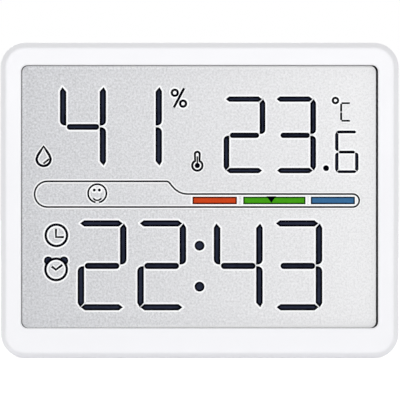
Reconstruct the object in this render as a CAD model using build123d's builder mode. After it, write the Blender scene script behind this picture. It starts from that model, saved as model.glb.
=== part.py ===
from build123d import *
import os

# Thermometer hygrometer clock, in millimetres.
# X runs to the right seen from the front, Z up, and the front faces -Y.
# The origin is the middle of the bottom face. A depth is a distance behind the front face.

# Housing
case_width = 110.0
case_height = 87.2
case_corner = 6.8
case_wall = 1.8
front_edge_width = 1.5
front_edge_depth = 2.6
front_edge_round = 0.8
rear_edge_round = 2.6
parting_depth = 8.0

# Window in the front
bezel_side = 5.8
bezel_top = 6.3
bezel_bottom = 8.4
window_corner = 1.7
window_bevel = 0.3
lip_thickness = 0.7
lens_thickness = 0.8
lens_land = 1.6
lens_fit = 0.1

# Lap joint and snaps between the two halves
tongue_thickness = 0.8
tongue_length = 2.6
lap_fit = 0.1
lap_end_gap = 0.2
bead_radius = 0.45
bead_proud = 0.22
bead_length = 8.0
bead_fit = 0.1

# Display stack
gasket_thickness = 0.3
gasket_show_left = 0.15
gasket_show_right = 0.5
gasket_show_top = 0.12
gasket_show_bottom = 0.05
polariser_thickness = 0.2
polariser_edge = 0.5
glass_thickness = 0.7
reflector_thickness = 0.2
view_margin = 1.3
ledge_cover = 1.0
lcd_fit = 0.2

# Display carrier
bracket_plate = 1.2
bracket_rim = 1.0
bracket_corner_step = 2.4
bracket_foot_gap = 0.6
bracket_bay_gap = 0.4
bracket_window_width = 15.0
bracket_window_height = 18.0
bracket_window_round = 2.0
locating_rib_width = 1.2
locating_rib_fit = 0.1
boss_radius = 2.2
boss_height = 1.4

# Contact strip
zebra_inset = 0.8
zebra_side_gap = 1.8
zebra_fit = 0.15

# Circuit board
pcb_thickness = 1.2
pcb_corner = 1.0
pcb_side_gap = 4.7
pcb_foot_gap = 0.4
pcb_bay_gap = 1.4

# Board screws
screw_shank_radius = 0.75
screw_head_radius = 1.8
screw_head_height = 1.2
screw_slot_width = 0.5
screw_slot_depth = 0.6
screw_tip_gap = 0.1
screw_hole_fit = 0.05
screw_clear_fit = 0.3
screw_edge = 3.0
screw_inner_x = 24.0
screw_foot_rise = 7.0

# Parts on the board
chip_radius = 6.0
chip_height = 1.6
chip_x = 6.0
chip_drop = 20.0
crystal_radius = 1.0
crystal_length = 6.0
crystal_side_gap = 2.0
crystal_drop = 12.0
crystal_gap = 0.05
crystal_edge = 0.3
capacitor_width = 1.6
capacitor_height = 3.2
capacitor_thickness = 1.1
capacitor_pitch = 4.0
capacitor_count = 5
capacitor_rise = 10.0
humidity_width = 8.0
humidity_height = 10.0
humidity_thickness = 2.4
humidity_inset = 6.0
humidity_drop = 1.4
humidity_slot_width = 0.8
humidity_slot_length = 5.6
humidity_slot_pitch = 1.6
humidity_slot_count = 4
humidity_slot_depth = 1.2
thermistor_radius = 1.2
thermistor_length = 3.2
thermistor_edge = 0.5
thermistor_gap = 0.05
thermistor_shift = 7.0

# Switches and button caps
button_row_pitch = 8.6
button_column_pitch = 10.5
cap_length = 8.0
cap_width = 5.0
cap_fit = 0.2
cap_sink = 0.2
cap_edge = 0.5
flange_proud = 0.9
flange_thickness = 0.8
flange_gap = 0.1
post_radius = 1.6
switch_size = 6.0
switch_height = 3.4
switch_cover_thickness = 0.3
switch_cover_edge = 0.4
plunger_radius = 1.7
plunger_fit = 0.05
plunger_rise = 1.0
plunger_tail = 1.6
plunger_floor_gap = 0.4
panel_depth = 0.8
panel_margin = 2.0
panel_corner = 3.0
panel_inset = 6.5

# Cells and battery bay
cell_diameter = 10.5
cell_length = 44.5
cell_nub_radius = 1.9
cell_nub_length = 1.0
cell_edge = 0.4
cell_tail_radius = 3.2
cell_tail_depth = 0.2
cell_floor_gap = 0.2
cell_end_gap = 0.2
cell_door_gap = 0.6
cell_spacing = 0.7
cell_side_gap = 0.35
bay_floor = 1.2
bay_floor_gap = 0.5
bay_wall = 1.2
cradle_rib_height = 2.0
cradle_rib_width = 0.6

# Battery contacts
contact_sheet = 0.4
contact_width = 8.4
contact_height = 8.6
contact_dimple_radius = 1.6
contact_dimple_proud = 0.6
dimple_taper = 25.0
contact_corner = 0.8
spring_wire_radius = 0.25
spring_wire_sides = 5
spring_base_radius = 3.4
spring_length = 4.4
spring_pitch = 1.5
spring_cone_angle = -14.0
tab_width = 2.4
tab_reach = 3.0
tab_slot_fit = 0.2

# Battery door
door_skin = 1.4
door_margin = 2.6
door_gap = 0.2
door_corner = 1.5
door_edge = 0.3
door_rib_height = 2.0
door_rib_width = 1.0
pad_margin = 1.4
pad_thickness = 1.2
seat_gap = 0.1
door_tongue_width = 8.0
door_tongue_x = 18.0
door_tongue_reach = 1.6
door_tongue_root = 1.0
door_tongue_thickness = 0.8
door_tongue_gap = 0.2
door_notch_fit = 0.3
door_notch_depth = 3.5
latch_width = 9.0
latch_slot = 0.6
latch_arm = 6.0
latch_nose = 0.1
latch_nose_width = 5.0
grip_width = 12.0
grip_height = 6.0
grip_depth = 0.5
grip_rib_width = 0.5
grip_rib_pitch = 1.4
grip_rib_count = 3
grip_from_edge = 11.0

# Keyhole in the back
keyhole_radius = 3.6
keyhole_slot_radius = 1.8
keyhole_travel = 4.5
keyhole_margin = 4.2
keyhole_door_gap = 1.4

# Fold-out stand
stand_panel_gap = 3.7
stand_thickness = 2.4
stand_skin = 1.1
stand_rim = 1.8
stand_corner = 2.5
stand_foot_edge = 0.6
stand_pocket_round = 1.2
stand_foot = 5.4
stand_gap = 0.3
stand_sink = 0.2
stand_floor_gap = 0.3
stand_web = 1.5
stand_foot_gap = 0.4
stub_radius = 0.8
stub_length = 1.4
stub_fit = 0.05
stub_end_gap = 0.1
pan_wall = 1.5
scoop_width = 18.0
scoop_drop = 2.4
scoop_rise = 4.0
scoop_round = 2.2

# Clamp posts inside the rear cover
clamp_radius = 1.7
clamp_board_gap = 0.8
clamp_web = 0.8
clamp_web_gap = 0.4
clamp_shares = [0.14, 0.5, 0.87]

# Sensor vents and buzzer
vent_length = 12.0
vent_width = 1.4
vent_pitch = 2.6
vent_count = 5
vent_inset = 13.5
buzzer_radius = 10.0
buzzer_sheet = 0.2
buzzer_ceramic_radius = 7.0
buzzer_ceramic_sheet = 0.2
buzzer_inset = 18.0
buzzer_rise = 16.5
buzzer_ring_wall = 1.0
buzzer_ring_height = 1.8
buzzer_ledge = 1.0
buzzer_chamber = 0.8
buzzer_fit = 0.2
sound_hole_radius = 0.8
sound_ring_radius = 3.6
sound_hole_count = 6

# Leads
lead_radius = 0.5
lead_sides = 6
lead_bend = 1.6
lead_drop = 2.3
lead_spacing = 2.4
lead_pad_inset = 2.5
lead_stand_off = 3.4
buzzer_lead_span = 16.0
buzzer_rim_solder = 8.4
buzzer_face_solder = 4.5

# One overrun for cuts that pass through a face
overrun = 0.5

# Places worked out from the sizes above
front_wall = lip_thickness + lens_thickness
polariser_depth = front_wall + gasket_thickness
front_glass_depth = polariser_depth + polariser_thickness
rear_glass_depth = front_glass_depth + glass_thickness
reflector_depth = rear_glass_depth + glass_thickness
bracket_depth = reflector_depth + reflector_thickness
bracket_back = bracket_depth + bracket_plate
pcb_depth = bracket_back + boss_height
pcb_back = pcb_depth + pcb_thickness
bay_floor_depth = bracket_depth + bay_floor_gap
cell_front_depth = bay_floor_depth + bay_floor + cell_floor_gap
cell_axis_depth = cell_front_depth + cell_diameter / 2
case_depth = cell_front_depth + cell_diameter + cell_door_gap + door_skin
rear_inner_depth = case_depth - case_wall
seat_depth = case_depth - door_skin - seat_gap
pad_depth = rear_inner_depth - pad_thickness
middle_z = case_height / 2
inner_width = case_width - 2 * case_wall
inner_height = case_height - 2 * case_wall
inner_corner = case_corner - case_wall

window_width = case_width - 2 * bezel_side
window_height = case_height - bezel_top - bezel_bottom
window_z = bezel_bottom + window_height / 2

bracket_bottom = case_wall + bracket_foot_gap
lcd_bottom = bracket_bottom + bracket_rim + lcd_fit
lcd_top = bezel_bottom + window_height + view_margin
lcd_width = window_width + 2 * view_margin
lcd_height = lcd_top - lcd_bottom
lcd_z = (lcd_top + lcd_bottom) / 2
rear_glass_bottom = bezel_bottom - ledge_cover
rear_glass_height = lcd_top - rear_glass_bottom
rear_glass_z = (lcd_top + rear_glass_bottom) / 2
bracket_width = lcd_width + 2 * (lcd_fit + bracket_rim)
bracket_height = lcd_height + 2 * (lcd_fit + bracket_rim)
bracket_corner = inner_corner - bracket_corner_step
zebra_height = rear_glass_bottom - lcd_bottom - 2 * zebra_inset
zebra_z = (rear_glass_bottom + lcd_bottom) / 2

keyhole_slot_z = case_height - keyhole_margin - keyhole_slot_radius
keyhole_z = keyhole_slot_z - keyhole_travel
door_top = keyhole_z - keyhole_radius - keyhole_door_gap
bay_length = cell_length + spring_length + 2 * contact_sheet + contact_dimple_proud + cell_end_gap
cell_pitch = cell_diameter + cell_spacing
bay_height = cell_pitch + cell_diameter + 2 * cell_side_gap
bay_z = door_top - door_margin - bay_height / 2
bay_bottom = bay_z - bay_height / 2
door_height = bay_height + 2 * door_margin
door_length = bay_length + 2 * door_margin
door_bottom = door_top - door_height
pcb_top = bay_bottom - bay_wall - pcb_bay_gap
pcb_bottom = bracket_bottom + bracket_rim + pcb_foot_gap
pcb_height = pcb_top - pcb_bottom
pcb_width = bracket_width - 2 * pcb_side_gap
pcb_z = (pcb_top + pcb_bottom) / 2
zebra_length = pcb_width - 2 * (screw_edge + boss_radius + zebra_side_gap)

hinge_z = door_bottom - pad_margin - stand_web - stand_gap - stand_thickness / 2
hinge_depth = case_depth - stand_sink - stand_thickness / 2
recess_depth = stand_sink + stand_thickness + stand_floor_gap
panel_width = button_column_pitch + cap_length + 2 * panel_margin
panel_height = button_row_pitch + cap_width + 2 * panel_margin
panel_x = panel_inset + panel_width / 2 - case_width / 2
recess_width = case_width - 2 * (panel_inset + panel_width + stand_panel_gap)
stand_width = recess_width - 2 * stand_gap
recess_top = hinge_z + stand_thickness / 2 + stand_gap
recess_bottom = stand_foot - stand_foot_gap
recess_floor_depth = case_depth - recess_depth

button_left = panel_x - button_column_pitch / 2
button_right = panel_x + button_column_pitch / 2
button_low = pcb_z - button_row_pitch / 2
button_high = pcb_z + button_row_pitch / 2
button_places = {
    "mode": (button_left, button_high),
    "unit": (button_right, button_high),
    "down": (button_left, button_low),
    "up": (button_right, button_low),
}
cap_face_depth = case_depth - cap_sink
panel_floor_depth = case_depth - panel_depth
flange_back_depth = rear_inner_depth - flange_gap
flange_front_depth = flange_back_depth - flange_thickness
switch_back = pcb_back + switch_height
plunger_end = switch_back + plunger_rise

buzzer_x = case_width / 2 - buzzer_inset
buzzer_places = [(buzzer_x, buzzer_rise)]
buzzer_depth = rear_inner_depth - buzzer_chamber - buzzer_sheet
vent_x = case_width / 2 - vent_inset
humidity_x = pcb_width / 2 - humidity_inset
humidity_z = pcb_top - lead_pad_inset - lead_radius - humidity_drop - humidity_height / 2

os.makedirs("parts", exist_ok=True)


def layer(depth):
    """The plane that faces forward, a given depth behind the front face."""
    return Plane.XZ.offset(case_depth / 2 - depth)


def panel(width, height, corner, x, z, depth):
    """A rounded rectangle on a layer, centred on x and z."""
    with BuildSketch(layer(depth)) as outline:
        with Locations((x, z)):
            RectangleRounded(width, height, corner)
    return outline.sketch


def bar(width, height, x, z, depth):
    """A plain rectangle on a layer, centred on x and z."""
    with BuildSketch(layer(depth)) as outline:
        with Locations((x, z)):
            Rectangle(width, height)
    return outline.sketch


def disc(radius, places, depth):
    """Circles on a layer, one for each (x, z) place."""
    with BuildSketch(layer(depth)) as outline:
        with Locations(*places):
            Circle(radius)
    return outline.sketch


def save(piece, name):
    """Label a finished piece and write it to its own file."""
    piece.part.label = name
    export_step(piece.part, f"parts/{name}.step")


# Snap beads stand on the tongue, half sunk, and the frame has a groove for each.
bead_depth = parting_depth - tongue_length / 2
tongue_face = case_wall - tongue_thickness
bead_side = case_width / 2 - tongue_face + bead_proud - bead_radius
bead_rise = case_height / 2 - tongue_face + bead_proud - bead_radius
bead_side_shares = [-0.25, 0.25]
bead_end_shares = [-0.3, 0.0, 0.3]
bead_y = bead_depth - case_depth / 2
side_beads = [
    (side * bead_side, bead_y, middle_z + share * case_height)
    for side in (-1, 1)
    for share in bead_side_shares
]
end_beads = [
    (share * case_width, bead_y, middle_z + end * bead_rise)
    for end in (-1, 1)
    for share in bead_end_shares
]

# Clamp posts stand beside the board and press the carrier forward.
clamp_x = pcb_width / 2 + clamp_board_gap + clamp_radius
clamp_places = [(side * clamp_x, share * case_height) for side in (-1, 1) for share in clamp_shares]

# Board screws go through the board into bosses on the carrier.
screw_side_x = pcb_width / 2 - screw_edge
screw_places = [
    (-screw_side_x, pcb_bottom + screw_edge),
    (screw_side_x, pcb_bottom + screw_edge),
    (0, pcb_bottom + screw_foot_rise),
    (-screw_inner_x, pcb_top - screw_edge),
    (screw_inner_x, pcb_top - screw_edge),
]

# Front frame: bezel, window lip, lens rabbet, lap joint and locating ribs
with BuildPart() as front_frame:
    extrude(panel(case_width, case_height, case_corner, 0, middle_z, 0), amount=-parting_depth)
    # Sloped edge round the face, softened where it meets the face and the sides
    chamfer(
        front_frame.edges().group_by(Axis.Y)[0],
        length=front_edge_width,
        length2=front_edge_depth,
        reference=front_frame.faces().sort_by(Axis.Y)[0],
    )
    edge_rings = front_frame.edges().group_by(Axis.Y)
    fillet(edge_rings[0] + edge_rings[2], radius=front_edge_round)
    extrude(
        panel(inner_width, inner_height, inner_corner, 0, middle_z, front_wall),
        amount=front_wall - parting_depth,
        mode=Mode.SUBTRACT,
    )
    extrude(
        panel(window_width, window_height, window_corner, 0, window_z, 0),
        amount=-front_wall,
        mode=Mode.SUBTRACT,
    )
    window_rim = front_frame.edges().group_by(Axis.Y)[0].filter_by(
        lambda edge: abs(edge.center().X) < case_width / 2 - bezel_side + window_bevel
        and bezel_bottom - window_bevel < edge.center().Z < case_height - bezel_top + window_bevel
    )
    chamfer(window_rim, length=window_bevel)
    extrude(
        panel(
            window_width + 2 * lens_land,
            window_height + 2 * lens_land,
            window_corner + lens_land,
            0,
            window_z,
            lip_thickness,
        ),
        amount=-lens_thickness,
        mode=Mode.SUBTRACT,
    )
    lap_start = parting_depth - tongue_length - lap_end_gap
    lap_wall = tongue_face - lap_fit
    extrude(
        panel(
            case_width - 2 * lap_wall,
            case_height - 2 * lap_wall,
            case_corner - lap_wall,
            0,
            middle_z,
            lap_start,
        ),
        amount=lap_start - parting_depth,
        mode=Mode.SUBTRACT,
    )
    # Locating ribs reach from the wall to the carrier
    rib_reach = (inner_width - bracket_width) / 2 - locating_rib_fit
    rib_x = inner_width / 2 - rib_reach / 2
    rib_top_reach = case_height - case_wall - (bracket_bottom + bracket_height) - locating_rib_fit
    rib_top_z = case_height - case_wall - rib_top_reach / 2
    rib_side_shares = [0.25, 0.75]
    rib_top_shares = [-0.3, 0.3]
    with BuildSketch(layer(front_wall)) as rib_outlines:
        for side in (-1, 1):
            with Locations(*[(side * rib_x, share * case_height) for share in rib_side_shares]):
                Rectangle(rib_reach, locating_rib_width)
        with Locations(*[(share * case_width, rib_top_z) for share in rib_top_shares]):
            Rectangle(locating_rib_width, rib_top_reach)
    extrude(amount=front_wall - lap_start)
    # Grooves for the snap beads
    with Locations(*side_beads):
        Cylinder(bead_radius + bead_fit, bead_length + 2 * bead_fit, mode=Mode.SUBTRACT)
    with Locations(*[Location(place, (0, 90, 0)) for place in end_beads]):
        Cylinder(bead_radius + bead_fit, bead_length + 2 * bead_fit, mode=Mode.SUBTRACT)
save(front_frame, "front_frame")

# Rear cover: shell with a tongue, battery bay, stand recess, button panel, keyhole and vents
bay_outer_length = bay_length + 2 * bay_wall
bay_outer_height = bay_height + 2 * bay_wall
pad_length = door_length + 2 * (door_gap + pad_margin)
pad_height = door_height + 2 * (door_gap + pad_margin)
recess_height = recess_top - recess_bottom
recess_z = (recess_top + recess_bottom) / 2
scoop_z = recess_bottom + (scoop_rise - scoop_drop) / 2
door_z = (door_top + door_bottom) / 2
tongue_places = [(side * door_tongue_x, door_top) for side in (-1, 1)]


def recess_outline(depth, grow=0):
    """The stand's recess with its finger scoop, grown by a wall where one is needed."""
    with BuildSketch(layer(depth)) as outline:
        with Locations((0, recess_z)):
            Rectangle(recess_width + 2 * grow, recess_height + 2 * grow)
        fillet(outline.vertices().group_by(Axis.Y)[0], radius=stand_corner + stand_gap)
        with Locations((0, scoop_z)):
            RectangleRounded(
                scoop_width + 2 * grow, scoop_rise + scoop_drop + 2 * grow, scoop_round
            )
    return outline.sketch


with BuildPart() as rear_cover:
    extrude(
        panel(case_width, case_height, case_corner, 0, middle_z, parting_depth),
        amount=parting_depth - case_depth,
    )
    fillet(rear_cover.edges().group_by(Axis.Y)[-1], radius=rear_edge_round)
    extrude(
        panel(inner_width, inner_height, inner_corner, 0, middle_z, parting_depth),
        amount=parting_depth - rear_inner_depth,
        mode=Mode.SUBTRACT,
    )
    # Tongue of the lap joint
    tongue_start = parting_depth - tongue_length
    with BuildSketch(layer(tongue_start)):
        with Locations((0, middle_z)):
            RectangleRounded(
                case_width - 2 * tongue_face,
                case_height - 2 * tongue_face,
                case_corner - tongue_face,
            )
            RectangleRounded(inner_width, inner_height, inner_corner, mode=Mode.SUBTRACT)
    extrude(amount=-(tongue_length + overrun))
    with Locations(*side_beads):
        Cylinder(bead_radius, bead_length)
    with Locations(*[Location(place, (0, 90, 0)) for place in end_beads]):
        Cylinder(bead_radius, bead_length)
    # Thickened seat round the battery door, and the bay
    extrude(
        panel(pad_length, pad_height, door_corner + pad_margin, 0, door_z, pad_depth),
        amount=pad_depth - rear_inner_depth,
    )
    extrude(
        bar(bay_outer_length, bay_outer_height, 0, bay_z, bay_floor_depth),
        amount=bay_floor_depth - pad_depth,
    )
    # Pan behind the stand
    extrude(
        recess_outline(recess_floor_depth - pan_wall, pan_wall),
        amount=recess_floor_depth - pan_wall - rear_inner_depth,
    )
    # Buzzer ring and clamp posts
    ring_depth = rear_inner_depth - buzzer_ring_height
    extrude(
        disc(buzzer_radius + buzzer_fit + buzzer_ring_wall, buzzer_places, ring_depth),
        amount=-buzzer_ring_height,
    )
    extrude(disc(clamp_radius, clamp_places, bracket_back), amount=bracket_back - rear_inner_depth)
    web_reach = inner_width / 2 - clamp_x
    web_depth = parting_depth + clamp_web_gap
    with BuildSketch(layer(web_depth)):
        for side in (-1, 1):
            web_x = side * (clamp_x + web_reach / 2)
            with Locations(*[(web_x, share * case_height) for share in clamp_shares]):
                Rectangle(web_reach, clamp_web)
    extrude(amount=web_depth - rear_inner_depth)
    # Bay cavity, door seat and tongue notches
    extrude(
        bar(bay_length, bay_height, 0, bay_z, bay_floor_depth + bay_floor),
        amount=bay_floor_depth + bay_floor - case_depth,
        mode=Mode.SUBTRACT,
    )
    extrude(
        panel(
            door_length + 2 * door_gap,
            door_height + 2 * door_gap,
            door_corner + door_gap,
            0,
            door_z,
            seat_depth,
        ),
        amount=seat_depth - case_depth,
        mode=Mode.SUBTRACT,
    )
    notch_top = door_top + door_tongue_reach + door_notch_fit
    notch_bottom = bay_z + bay_height / 2
    notch_floor = case_depth - door_notch_depth
    for place_x, _ in tongue_places:
        extrude(
            bar(
                door_tongue_width + 2 * door_notch_fit,
                notch_top - notch_bottom,
                place_x,
                (notch_top + notch_bottom) / 2,
                notch_floor,
            ),
            amount=notch_floor - rear_inner_depth,
            mode=Mode.SUBTRACT,
        )
        extrude(
            bar(
                door_tongue_width + 2 * door_notch_fit,
                door_top - notch_bottom,
                place_x,
                (door_top + notch_bottom) / 2,
                notch_floor,
            ),
            amount=notch_floor - case_depth,
            mode=Mode.SUBTRACT,
        )
    # Rib between the cells
    cradle_rib_length = cell_length - 2 * spring_length
    extrude(
        bar(cradle_rib_length, cradle_rib_width, 0, bay_z, bay_floor_depth + bay_floor),
        amount=-cradle_rib_height,
    )
    # Stand recess with its hinge sockets
    extrude(recess_outline(recess_floor_depth), amount=-recess_depth, mode=Mode.SUBTRACT)
    socket_length = recess_width + 2 * (stub_length - stand_gap + stub_end_gap)
    with Locations(Location((0, hinge_depth - case_depth / 2, hinge_z), (0, 90, 0))):
        Cylinder(stub_radius + stub_fit, socket_length, mode=Mode.SUBTRACT)
    # Button panel and cap holes
    extrude(
        panel(panel_width, panel_height, panel_corner, panel_x, pcb_z, panel_floor_depth),
        amount=-panel_depth,
        mode=Mode.SUBTRACT,
    )
    with BuildSketch(layer(rear_inner_depth)):
        with Locations(*button_places.values()):
            SlotOverall(cap_length + 2 * cap_fit, cap_width + 2 * cap_fit)
    extrude(amount=-case_wall, mode=Mode.SUBTRACT)
    # Keyhole: a round hole for a screw head, and a slot for its shank
    with BuildSketch(layer(rear_inner_depth)):
        with Locations((0, keyhole_z)):
            Circle(keyhole_radius)
        with Locations((0, (keyhole_z + keyhole_slot_z) / 2)):
            Rectangle(2 * keyhole_slot_radius, keyhole_travel)
        with Locations((0, keyhole_slot_z)):
            Circle(keyhole_slot_radius)
    extrude(amount=-case_wall, mode=Mode.SUBTRACT)
    # Vents beside the sensors, and sound holes behind the buzzer
    with BuildSketch(layer(rear_inner_depth)):
        with Locations((vent_x, humidity_z)):
            with GridLocations(0, vent_pitch, 1, vent_count):
                SlotOverall(vent_length, vent_width)
        with Locations(*buzzer_places):
            Circle(sound_hole_radius)
            with PolarLocations(sound_ring_radius, sound_hole_count):
                Circle(sound_hole_radius)
    extrude(amount=-case_wall, mode=Mode.SUBTRACT)
    # Buzzer pocket: the disc rests on a ledge over its sound chamber
    extrude(
        disc(buzzer_radius + buzzer_fit, buzzer_places, ring_depth),
        amount=buzzer_chamber - buzzer_ring_height,
        mode=Mode.SUBTRACT,
    )
    extrude(
        disc(buzzer_radius - buzzer_ledge, buzzer_places, rear_inner_depth - buzzer_chamber),
        amount=-buzzer_chamber,
        mode=Mode.SUBTRACT,
    )
    # Slots for the solder tabs in the end wall of the bay
    tab_slot_x = bay_length / 2 + bay_wall / 2
    with BuildSketch(layer(cell_axis_depth - tab_width / 2 - tab_slot_fit)):
        with Locations(*[(tab_slot_x, bay_z + side * cell_pitch / 2) for side in (-1, 1)]):
            Rectangle(2 * bay_wall, contact_sheet + 2 * tab_slot_fit)
    extrude(amount=-(tab_width + 2 * tab_slot_fit), mode=Mode.SUBTRACT)
save(rear_cover, "rear_cover")

# Clear lens in the rabbet behind the lip
with BuildPart() as display_lens:
    extrude(
        panel(
            window_width + 2 * (lens_land - lens_fit),
            window_height + 2 * (lens_land - lens_fit),
            window_corner + lens_land - lens_fit,
            0,
            window_z,
            lip_thickness,
        ),
        amount=-lens_thickness,
    )
save(display_lens, "display_lens")

# Black foam gasket, a little narrower than the window so that its edge shows
gasket_left = -window_width / 2 + gasket_show_left
gasket_right = window_width / 2 - gasket_show_right
gasket_low = bezel_bottom + gasket_show_bottom
gasket_high = bezel_bottom + window_height - gasket_show_top
with BuildPart() as lcd_gasket:
    with BuildSketch(layer(front_wall)):
        with Locations((0, lcd_z)):
            Rectangle(lcd_width, lcd_height)
        with Locations(((gasket_left + gasket_right) / 2, (gasket_low + gasket_high) / 2)):
            RectangleRounded(
                gasket_right - gasket_left,
                gasket_high - gasket_low,
                window_corner,
                mode=Mode.SUBTRACT,
            )
    extrude(amount=-gasket_thickness)
save(lcd_gasket, "lcd_gasket")

# Films and glass of the display, front to back
with BuildPart() as lcd_polariser:
    extrude(
        bar(
            lcd_width - 2 * polariser_edge,
            rear_glass_height - 2 * polariser_edge,
            0,
            rear_glass_z,
            polariser_depth,
        ),
        amount=-polariser_thickness,
    )
save(lcd_polariser, "lcd_polariser")

with BuildPart() as lcd_front_glass:
    extrude(bar(lcd_width, lcd_height, 0, lcd_z, front_glass_depth), amount=-glass_thickness)
save(lcd_front_glass, "lcd_front_glass")

with BuildPart() as lcd_rear_glass:
    extrude(
        bar(lcd_width, rear_glass_height, 0, rear_glass_z, rear_glass_depth),
        amount=-glass_thickness,
    )
save(lcd_rear_glass, "lcd_rear_glass")

with BuildPart() as lcd_reflector:
    extrude(
        bar(
            lcd_width - 2 * polariser_edge,
            rear_glass_height - 2 * polariser_edge,
            0,
            rear_glass_z,
            reflector_depth,
        ),
        amount=-reflector_thickness,
    )
save(lcd_reflector, "lcd_reflector")

# Carrier tray: the glass lies in its rim, the contact strip in its slot, the board on its bosses
with BuildPart() as lcd_bracket:
    extrude(
        panel(bracket_width, bracket_height, bracket_corner, 0, lcd_z, front_wall),
        amount=front_wall - bracket_back,
    )
    extrude(
        bar(lcd_width + 2 * lcd_fit, lcd_height + 2 * lcd_fit, 0, lcd_z, front_wall),
        amount=front_wall - bracket_depth,
        mode=Mode.SUBTRACT,
    )
    with BuildSketch(layer(bracket_depth)):
        with Locations((0, bay_z)):
            Rectangle(
                bay_outer_length + 2 * bracket_bay_gap, bay_outer_height + 2 * bracket_bay_gap
            )
        with Locations((0, zebra_z)):
            Rectangle(zebra_length + 2 * zebra_fit, zebra_height + 2 * zebra_fit)
        side_window_x = (bay_outer_length / 2 + bracket_width / 2) / 2
        with Locations((-side_window_x, bay_z), (side_window_x, bay_z)):
            RectangleRounded(bracket_window_width, bracket_window_height, bracket_window_round)
    extrude(amount=-bracket_plate, mode=Mode.SUBTRACT)
    extrude(disc(boss_radius, screw_places, bracket_back), amount=-boss_height)
    extrude(
        disc(screw_shank_radius + screw_hole_fit, screw_places, bracket_depth),
        amount=bracket_depth - pcb_depth,
        mode=Mode.SUBTRACT,
    )
save(lcd_bracket, "lcd_bracket")

# Conductive rubber strip between the contact ledge and the board
with BuildPart() as zebra_strip:
    extrude(
        bar(zebra_length, zebra_height, 0, zebra_z, rear_glass_depth),
        amount=rear_glass_depth - pcb_depth,
    )
save(zebra_strip, "zebra_strip")

# Circuit board
with BuildPart() as main_pcb:
    extrude(panel(pcb_width, pcb_height, pcb_corner, 0, pcb_z, pcb_depth), amount=-pcb_thickness)
    extrude(
        disc(screw_shank_radius + screw_clear_fit, screw_places, pcb_depth),
        amount=-pcb_thickness,
        mode=Mode.SUBTRACT,
    )
save(main_pcb, "main_pcb")

# Self-tapping screws with slotted pan heads
shank_start = bracket_depth + screw_tip_gap
with BuildPart() as pcb_screws:
    extrude(disc(screw_shank_radius, screw_places, shank_start), amount=shank_start - pcb_back)
    extrude(disc(screw_head_radius, screw_places, pcb_back), amount=-screw_head_height)
    with BuildSketch(layer(pcb_back + screw_head_height - screw_slot_depth)):
        with Locations(*screw_places):
            Rectangle(2 * screw_head_radius, screw_slot_width)
    extrude(amount=-screw_slot_depth, mode=Mode.SUBTRACT)
save(pcb_screws, "pcb_screws")

# Glob of epoxy over the controller chip
chip_z = pcb_top - chip_drop
with BuildPart() as controller_chip:
    dome_radius = (chip_radius**2 + chip_height**2) / (2 * chip_height)
    with BuildSketch(Plane.YZ.offset(chip_x)):
        with BuildLine():
            base = (pcb_back - case_depth / 2, chip_z)
            rim = (pcb_back - case_depth / 2, chip_z + chip_radius)
            crown = (pcb_back + chip_height - case_depth / 2, chip_z)
            Line(crown, base)
            Line(base, rim)
            RadiusArc(rim, crown, dome_radius)
        make_face()
    revolve(axis=Axis((chip_x, 0, chip_z), (0, 1, 0)))
save(controller_chip, "controller_chip")

# Watch crystal, a small can lying on the board
crystal_x = chip_x + chip_radius + crystal_side_gap + crystal_radius
crystal_z = pcb_top - crystal_drop
crystal_y = pcb_back + crystal_radius + crystal_gap - case_depth / 2
with BuildPart() as clock_crystal:
    with Locations((crystal_x, crystal_y, crystal_z)):
        Cylinder(crystal_radius, crystal_length)
    chamfer(clock_crystal.edges().group_by(Axis.Z)[-1], length=crystal_edge)
save(clock_crystal, "clock_crystal")

# Chip capacitors in a row under the controller
with BuildPart() as capacitors:
    with BuildSketch(layer(pcb_back)):
        with Locations((chip_x, pcb_bottom + capacitor_rise)):
            with GridLocations(capacitor_pitch, 0, capacitor_count, 1):
                Rectangle(capacitor_width, capacitor_height)
    extrude(amount=-capacitor_thickness)
save(capacitors, "capacitors")

# Humidity sensor in a slotted cage, near the vents
with BuildPart() as humidity_sensor:
    extrude(
        bar(humidity_width, humidity_height, humidity_x, humidity_z, pcb_back),
        amount=-humidity_thickness,
    )
    with BuildSketch(layer(pcb_back + humidity_thickness - humidity_slot_depth)):
        with Locations((humidity_x, humidity_z)):
            with GridLocations(0, humidity_slot_pitch, 1, humidity_slot_count):
                SlotOverall(humidity_slot_length, humidity_slot_width)
    extrude(amount=-humidity_slot_depth, mode=Mode.SUBTRACT)
save(humidity_sensor, "humidity_sensor")

# Temperature sensor, a small bead beside it
thermistor_x = humidity_x - thermistor_shift
thermistor_y = pcb_back + thermistor_radius + thermistor_gap - case_depth / 2
with BuildPart() as temperature_sensor:
    with Locations((thermistor_x, thermistor_y, humidity_z)):
        Cylinder(thermistor_radius, thermistor_length)
    chamfer(temperature_sensor.edges().filter_by(GeomType.CIRCLE), length=thermistor_edge)
save(temperature_sensor, "temperature_sensor")

# Buzzer: a brass disc with a ceramic face
with BuildPart() as buzzer_disc:
    extrude(disc(buzzer_radius, buzzer_places, buzzer_depth), amount=-buzzer_sheet)
    extrude(
        disc(buzzer_ceramic_radius, buzzer_places, buzzer_depth - buzzer_ceramic_sheet),
        amount=-buzzer_ceramic_sheet,
    )
save(buzzer_disc, "buzzer_disc")

# Switch bodies: a block with a thin metal cover and a round well for the plunger
with BuildPart() as switch_bodies:
    with BuildSketch(layer(pcb_back)):
        with Locations(*button_places.values()):
            Rectangle(switch_size, switch_size)
    extrude(amount=switch_cover_thickness - switch_height)
    with BuildSketch(layer(switch_back - switch_cover_thickness)):
        with Locations(*button_places.values()):
            Rectangle(switch_size - 2 * switch_cover_edge, switch_size - 2 * switch_cover_edge)
    extrude(amount=-switch_cover_thickness)
    well_depth = plunger_tail + plunger_floor_gap
    extrude(
        disc(plunger_radius + plunger_fit, button_places.values(), switch_back - well_depth),
        amount=-well_depth,
        mode=Mode.SUBTRACT,
    )
save(switch_bodies, "switch_bodies")

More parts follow.
